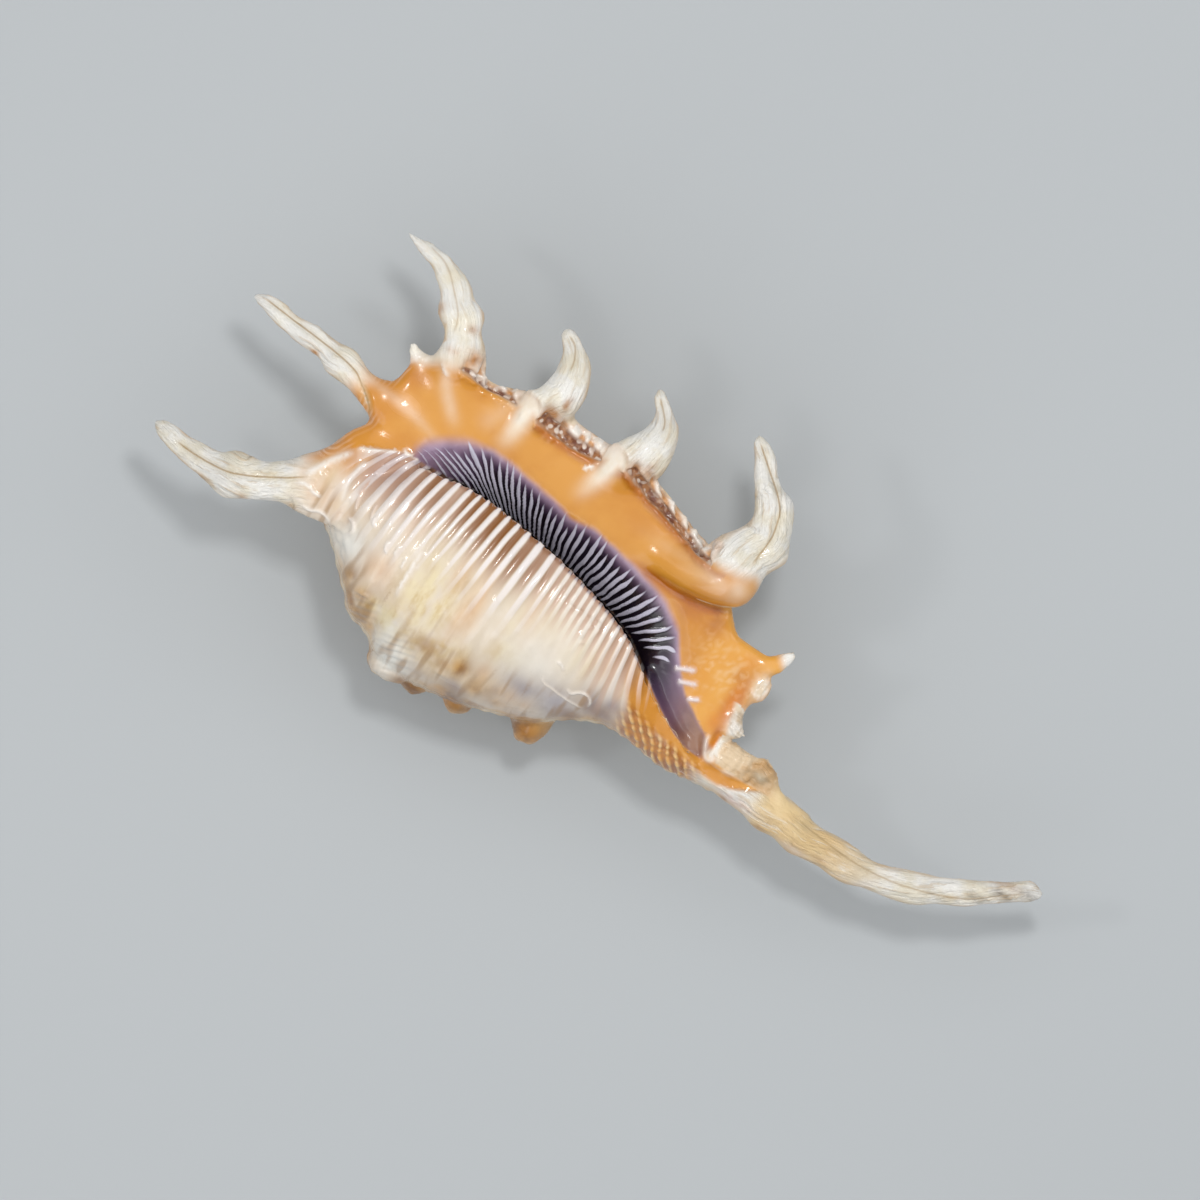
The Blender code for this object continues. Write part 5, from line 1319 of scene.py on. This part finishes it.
# Aragonite laid down as a porcelain-like enamel: glossy and warm over the lip and callus, chalky and duller elsewhere
enamel = {
    "callus": ("#E4D8C8", "#DCCDB8"),
    "back": ("#E2D0AE", "#B48A5A"),
    "layers": (
        # the mark that places each tint, its two colours, and which grain changes one to the other
        ("honey", "#E3D3AC", "#CCB07A", "axial"),
        ("peach", "#DDB488", "#CFA276", "axial"),
        # translucent grey, and painted shade beside the base's ribs
        ("mistAndShade", "#A09799", "#B4ADAF", "axial"),
        ("pearl", "#F0EEE6", "#DEDCD4", "mid"),
        ("shaded", "#94786A", "#A48A7C", "mid"),
        ("tan", "#CFA264", "#A2743E", "axial"),
        ("mauve", "#A88880", "#8E7470", "mid"),
        # painted shade where the columella's edge rolls into the slot
        ("edgeRollShade", "#B4948C", "#A68478", "fine"),
        ("amber", "#D69438", "#CC8628", "broad"),
        ("glow", "#E2A244", "#DC9634", "broad"),
        # deeper orange, with painted shade and shadow on the lip
        ("deep", "#B26418", "#A2581C", "mid"),
        ("saffron", "#DC840E", "#D07812", "mid"),
        ("granule", "#EBC898", "#E4BC88", "fine"),
        ("rib", "#F3EADC", "#EFE2CC", "mid"),
        ("bare", "#F0EDE6", "#E9E1CE", "mid"),
        ("wheat", "#E4C896", "#DDBA82", "broad"),
        ("pinkEdge", "#DCCFC6", "#D8BCAE", "fine"),
        # tan outline of the digits, and painted shade on their rounded sides
        ("edge", "#D2AC7C", "#DCC4A0", "mid"),
        ("knobBrown", "#B07A38", "#7C522A", "mid"),
        ("frill", "#D8A472", "#BC8450", "streak"),
        ("frillPale", "#F0E8DE", "#E6D6C4", "fine"),
        ("notchFrill", "#E0C6A2", "#C2965F", "mid"),
        ("rust", "#A06C3A", "#B9824C", "fine"),
        ("slate", "#8C8278", "#6C6058", "fine"),
        ("cup", "#CDBDA4", "#BFAE92", "mid"),
        ("bead", "#EFE6DA", "#DCC8AC", "fine"),
        ("violet", "#AE94AA", "#9A8098", "mid"),
        ("plum", "#5C4662", "#4A3850", "mid"),
        ("trough", "#64424C", "#785256", "mid"),
        ("umber", "#8C6450", "#98705A", "mid"),
        # dark purple and painted shade, near black, deep in the slot
        ("purpleAndSlotShade", "#1E1622", "#160F16", "mid"),
        ("crevice", "#74442E", "#A8764E", "fine"),
        # painted shade: near black, deep in the slot
        ("slotShade", "#140D12", "#1C1218", "mid"),
        ("dash", "#E6DADA", "#DCCCCE", "mid"),
        # white runs, and painted highlight streaks
        ("whiteRunAndHighlight", "#F0E8DE", "#E8DCCE", "mid"),
    ),
    # how large the lumps of each grain are, in millimetres, and how far it is drawn out along y
    "grains": {"fine": (1.0, 1.0), "mid": (2.6, 1.0), "broad": (7.0, 1.0), "streak": (1.0, 0.25), "axial": (1.6, 0.4)},
    # the patterns' own tints
    "growthLine": "#9C7648",
    # pale beads, and painted highlights, in the crevice
    "creviceBeadAndGlint": "#E6D8CA",
    "blushStripe": "#C8A48E",
    "caramelStripe": "#86521E",
    "ridgeCrest": "#EAE2DF",
    "tooth": "#C6C2D2",
    "ribGap": ("#BC7620", "#94541C"),
    "ribBead": ("#DEA248", "#E6C68C"),
    "marginLayers": ("#C98850", "#E6BFA0"),
    "marginPitch": 0.8,  # millimetres
    "darkStrand": "#C4A67A",
    "paleStrand": "#F3EFE8",
    # the seam's painted shade on both sides of its valley, and its line: how far from it they start and are full, their
    # strength and tint
    "seam": ((1.1, 0.1, 0.4, "#CDBB94"), (0.24, 0.05, 0.85, "#A6824E")),
    "roughness": 0.18,
    "moreRough": {"dull": 0.22, "back": 0.3, "bare": 0.12},
}
material = bpy.data.materials.new("glazedAragonite")
material.use_nodes = True
tree = material.node_tree
surface = tree.nodes["Principled BSDF"]
place = addNode(tree, "ShaderNodeTexCoord").outputs["Object"]
inMm = addNode(tree, "ShaderNodeVectorMath", {0: place, "Scale": 1 / mm}, operation="SCALE").outputs[0]


def mark(name):
    return addNode(tree, "ShaderNodeAttribute", attribute_name=name).outputs["Fac"]


def blend(amount, under, over):
    # mixes one tint over another
    return addNode(tree, "ShaderNodeMix", {0: amount, 6: under, 7: over}, data_type="RGBA").outputs[2]


def reckon(operation, *values, clamp=False):
    links = dict(enumerate(values))
    return addNode(tree, "ShaderNodeMath", links, operation=operation, use_clamp=clamp).outputs[0]


def ramp(value, low, high):
    # 0 at low, 1 at high, and smooth between
    links = {"Value": value, "From Min": low, "From Max": high}
    return addNode(tree, "ShaderNodeMapRange", links, interpolation_type="SMOOTHSTEP").outputs[0]


grains = {}
for name, (size, stretch) in enamel["grains"].items():
    links = {0: inMm, 1: (1, stretch, stretch)}
    drawn = addNode(tree, "ShaderNodeVectorMath", links, operation="MULTIPLY").outputs[0]
    links = {"Vector": drawn, "Scale": 0.5 / size, "Detail": 4.0, "Roughness": 0.55}
    grains[name] = ramp(addNode(tree, "ShaderNodeTexNoise", links).outputs["Fac"], 0.40, 0.62)

callusTint = blend(grains["broad"], *map(shade, enamel["callus"]))
backTint = blend(grains["axial"], *map(shade, enamel["back"]))
backMark = mark("back")
colour = callusTint
growthTint = ramp(mark("growthWave"), 0.0, 0.5)
for name, first, second, grain in enamel["layers"]:
    colour = blend(mark(name), colour, blend(grains[grain], shade(first), shade(second)))
    if name == "tan":
        amount = reckon("MULTIPLY", growthTint, reckon("MULTIPLY", mark("growth"), 0.6))
        colour = blend(amount, colour, shade(enamel["growthLine"]))
    if name == "bare":
        colour = blend(backMark, colour, backTint)


def turned(phase, shift=0.0):
    # the wave of a phase that grows by 1 for each turn
    return reckon("COSINE", reckon("MULTIPLY_ADD", phase, 2 * math.pi, shift))


# pale beads in the crevice, with painted highlights as pale spots among them
cells = addNode(tree, "ShaderNodeTexVoronoi", {"Vector": inMm, "Scale": 0.95}, feature="SMOOTH_F1")
beadsAndGlints = reckon("MULTIPLY", ramp(cells.outputs["Distance"], 0.42, 0.22), mark("crevice"))
colour = blend(reckon("MULTIPLY", beadsAndGlints, 0.85), colour, shade(enamel["creviceBeadAndGlint"]))


def stripes(colour, phase, weight, tone, low, high, shift=0.0):
    # one stripe in each turn of the phase, between two heights of its wave
    return blend(reckon("MULTIPLY", ramp(turned(phase, shift), low, high), weight, clamp=True), colour, shade(tone))


ridgePhase, ridgeMark = mark("ridgePhase"), mark("ridge")
colour = stripes(colour, ridgePhase, reckon("MULTIPLY", mark("blush"), 0.8), enamel["blushStripe"], -0.5, 0.7, math.pi)
colour = stripes(colour, ridgePhase, mark("caramel"), enamel["caramelStripe"], -0.6, 0.35, math.pi)
crestWave = reckon("ADD", turned(ridgePhase), mark("ridgeBias"))
colour = blend(reckon("MULTIPLY", ramp(crestWave, -0.05, 0.7), ridgeMark), colour, shade(enamel["ridgeCrest"]))
teethBand = ramp(reckon("MULTIPLY_ADD", mark("tooth"), 1.65, turned(mark("toothPhase"))), 1.2, 1.75)
colour = blend(teethBand, colour, shade(enamel["tooth"]))
ribWave = reckon("MULTIPLY", turned(mark("ribPhase")), 0.5)
beadWave = reckon("MULTIPLY_ADD", turned(mark("beadPhase")), 0.18, ribWave)
ribGap, ribBead = (blend(grains["mid"], *map(shade, enamel[name])) for name in ("ribGap", "ribBead"))
ribTone = blend(ramp(beadWave, -0.25, 0.85), ribGap, ribBead)
colour = blend(reckon("MULTIPLY", mark("baseRibs"), 0.9), colour, ribTone)
marginWave = reckon("COSINE", reckon("MULTIPLY", mark("marginGap"), 2 * math.pi / enamel["marginPitch"]))
marginTone = blend(ramp(marginWave, -0.3, 0.8), *map(shade, enamel["marginLayers"]))
colour = blend(reckon("MULTIPLY", mark("margin"), 0.6), colour, marginTone)

# strands along the digits, and each digit's golden seam with painted shade beside it
hornPlace = addNode(
    tree, "ShaderNodeCombineXYZ", {0: mark("across"), 1: reckon("MULTIPLY", mark("along"), 0.10)}).outputs[0]
links = {"Vector": hornPlace, "Scale": 1.5, "Detail": 5.0, "Roughness": 0.62}
fibre = addNode(tree, "ShaderNodeTexNoise", links).outputs["Fac"]
strandMark = mark("strand")
for name, start, full in (("darkStrand", 0.52, 0.66), ("paleStrand", 0.46, 0.34)):
    amount = reckon("MULTIPLY", ramp(fibre, start, full), strandMark)
    colour = blend(reckon("MULTIPLY", amount, 0.5), colour, shade(enamel[name]))
seamGapMark, seamMark = reckon("ABSOLUTE", mark("seam")), mark("seamWeight")
for start, full, strength, tone in enamel["seam"]:
    amount = reckon("MULTIPLY", ramp(seamGapMark, start, full), reckon("MULTIPLY", seamMark, strength))
    colour = blend(amount, colour, shade(tone))
tree.links.new(colour, surface.inputs["Base Color"])

# strands, and a grain too fine to model, stand out a little
grainBump = addNode(tree, "ShaderNodeTexNoise", {"Vector": inMm, "Scale": 1.1, "Detail": 6.0}).outputs["Fac"]
rawness = reckon("MAXIMUM", reckon("MAXIMUM", mark("bare"), backMark), mark("frill"))
grainHeight = reckon("MULTIPLY", grainBump, reckon("MULTIPLY_ADD", rawness, 0.14, 0.015))
height = reckon("MULTIPLY_ADD", fibre, strandMark, grainHeight)
relieved = addNode(tree, "ShaderNodeBump", {"Height": height, "Strength": 0.9, "Distance": 1.1 * mm})
tree.links.new(relieved.outputs[0], surface.inputs["Normal"])

# glossy glaze, duller where the shell is bare, and chalky on the back
roughness = enamel["roughness"]
for name, more in enamel["moreRough"].items():
    roughness = reckon("MULTIPLY_ADD", mark(name), more, roughness)
tree.links.new(roughness, surface.inputs["Roughness"])
surface.inputs["IOR"].default_value = 1.55
surface.inputs["Coat Weight"].default_value = 0.18
surface.inputs["Coat Roughness"].default_value = 0.06
shellMesh.materials.clear()
shellMesh.materials.append(material)

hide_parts("scorpion_conch_shell")
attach(shell, "root")

print("stage: floor, light and camera")
# The floor and the lights are in metres and watts. The shell's place and width in the picture are in millimetres.
studio = {
    "floorHalf": 1.2,
    "floorTint": "#B4B8BA",
    "airTint": "#F2F4F7",
    "airStrength": 0.42,
    "tilt": 32.0,  # how far the shell is turned in the photograph, in degrees
    "target": (-5.16, -3.02, 20.0),
    "frameWidth": 192.0,
    "sensorWidth": 36,
    "distance": 1.6,
    "lookAt": (-0.01, -0.004, 0.02),
    "lights": (
        # name, where it stands, its size and power
        ("softBox", (-0.05, 0.02, 1.1), 1.9, 7.3),
        ("keyLight", (-0.02, 0.16, 0.64), 0.07, 1.15),
        ("windowLight", (-0.30, -0.12, 0.50), 0.06, 0.25),
        ("rimLight", (0.35, 0.25, 0.35), 0.20, 0.20),
        ("fillLight", (-0.10, -0.50, 0.38), 0.40, 0.55),
    ),
}
ground = bmesh.new()
bmesh.ops.create_grid(ground, x_segments=1, y_segments=1, size=studio["floorHalf"])
floorMesh = bpy.data.meshes.new("floor")
ground.to_mesh(floorMesh)
ground.free()
floor = bpy.data.objects.new("floor", floorMesh)
bpy.context.scene.collection.objects.link(floor)
floorMaterial = bpy.data.materials.new("palePaper")
floorMaterial.use_nodes = True
floorSurface = floorMaterial.node_tree.nodes["Principled BSDF"]
floorSurface.inputs["Base Color"].default_value = shade(studio["floorTint"])
floorSurface.inputs["Roughness"].default_value = 0.7
floorMesh.materials.append(floorMaterial)

for name, spot, size, power in studio["lights"]:
    lamp = bpy.data.lights.new(name, "AREA")
    lamp.size, lamp.energy = size, power
    light = bpy.data.objects.new(name, lamp)
    light.location = spot
    light.rotation_euler = (Vector(studio["lookAt"]) - Vector(spot)).to_track_quat("-Z", "Y").to_euler()
    bpy.context.scene.collection.objects.link(light)
world = bpy.data.worlds.new("studio")
world.use_nodes = True
world.node_tree.nodes["Background"].inputs["Color"].default_value = shade(studio["airTint"])
world.node_tree.nodes["Background"].inputs["Strength"].default_value = studio["airStrength"]
bpy.context.scene.world = world
bpy.context.scene.view_settings.view_transform = "Standard"

lens = bpy.data.cameras.new("photoView")
lens.sensor_width = studio["sensorWidth"]
lens.lens = studio["sensorWidth"] * (studio["distance"] - studio["target"][2] * mm) / (studio["frameWidth"] * mm)
lens.clip_start, lens.clip_end = 0.01, 20
camera = bpy.data.objects.new("photoView", lens)
camera.location = (studio["target"][0] * mm, studio["target"][1] * mm, studio["distance"])
camera.rotation_euler = (0, 0, math.radians(studio["tilt"]))
bpy.context.scene.collection.objects.link(camera)
bpy.context.scene.camera = camera
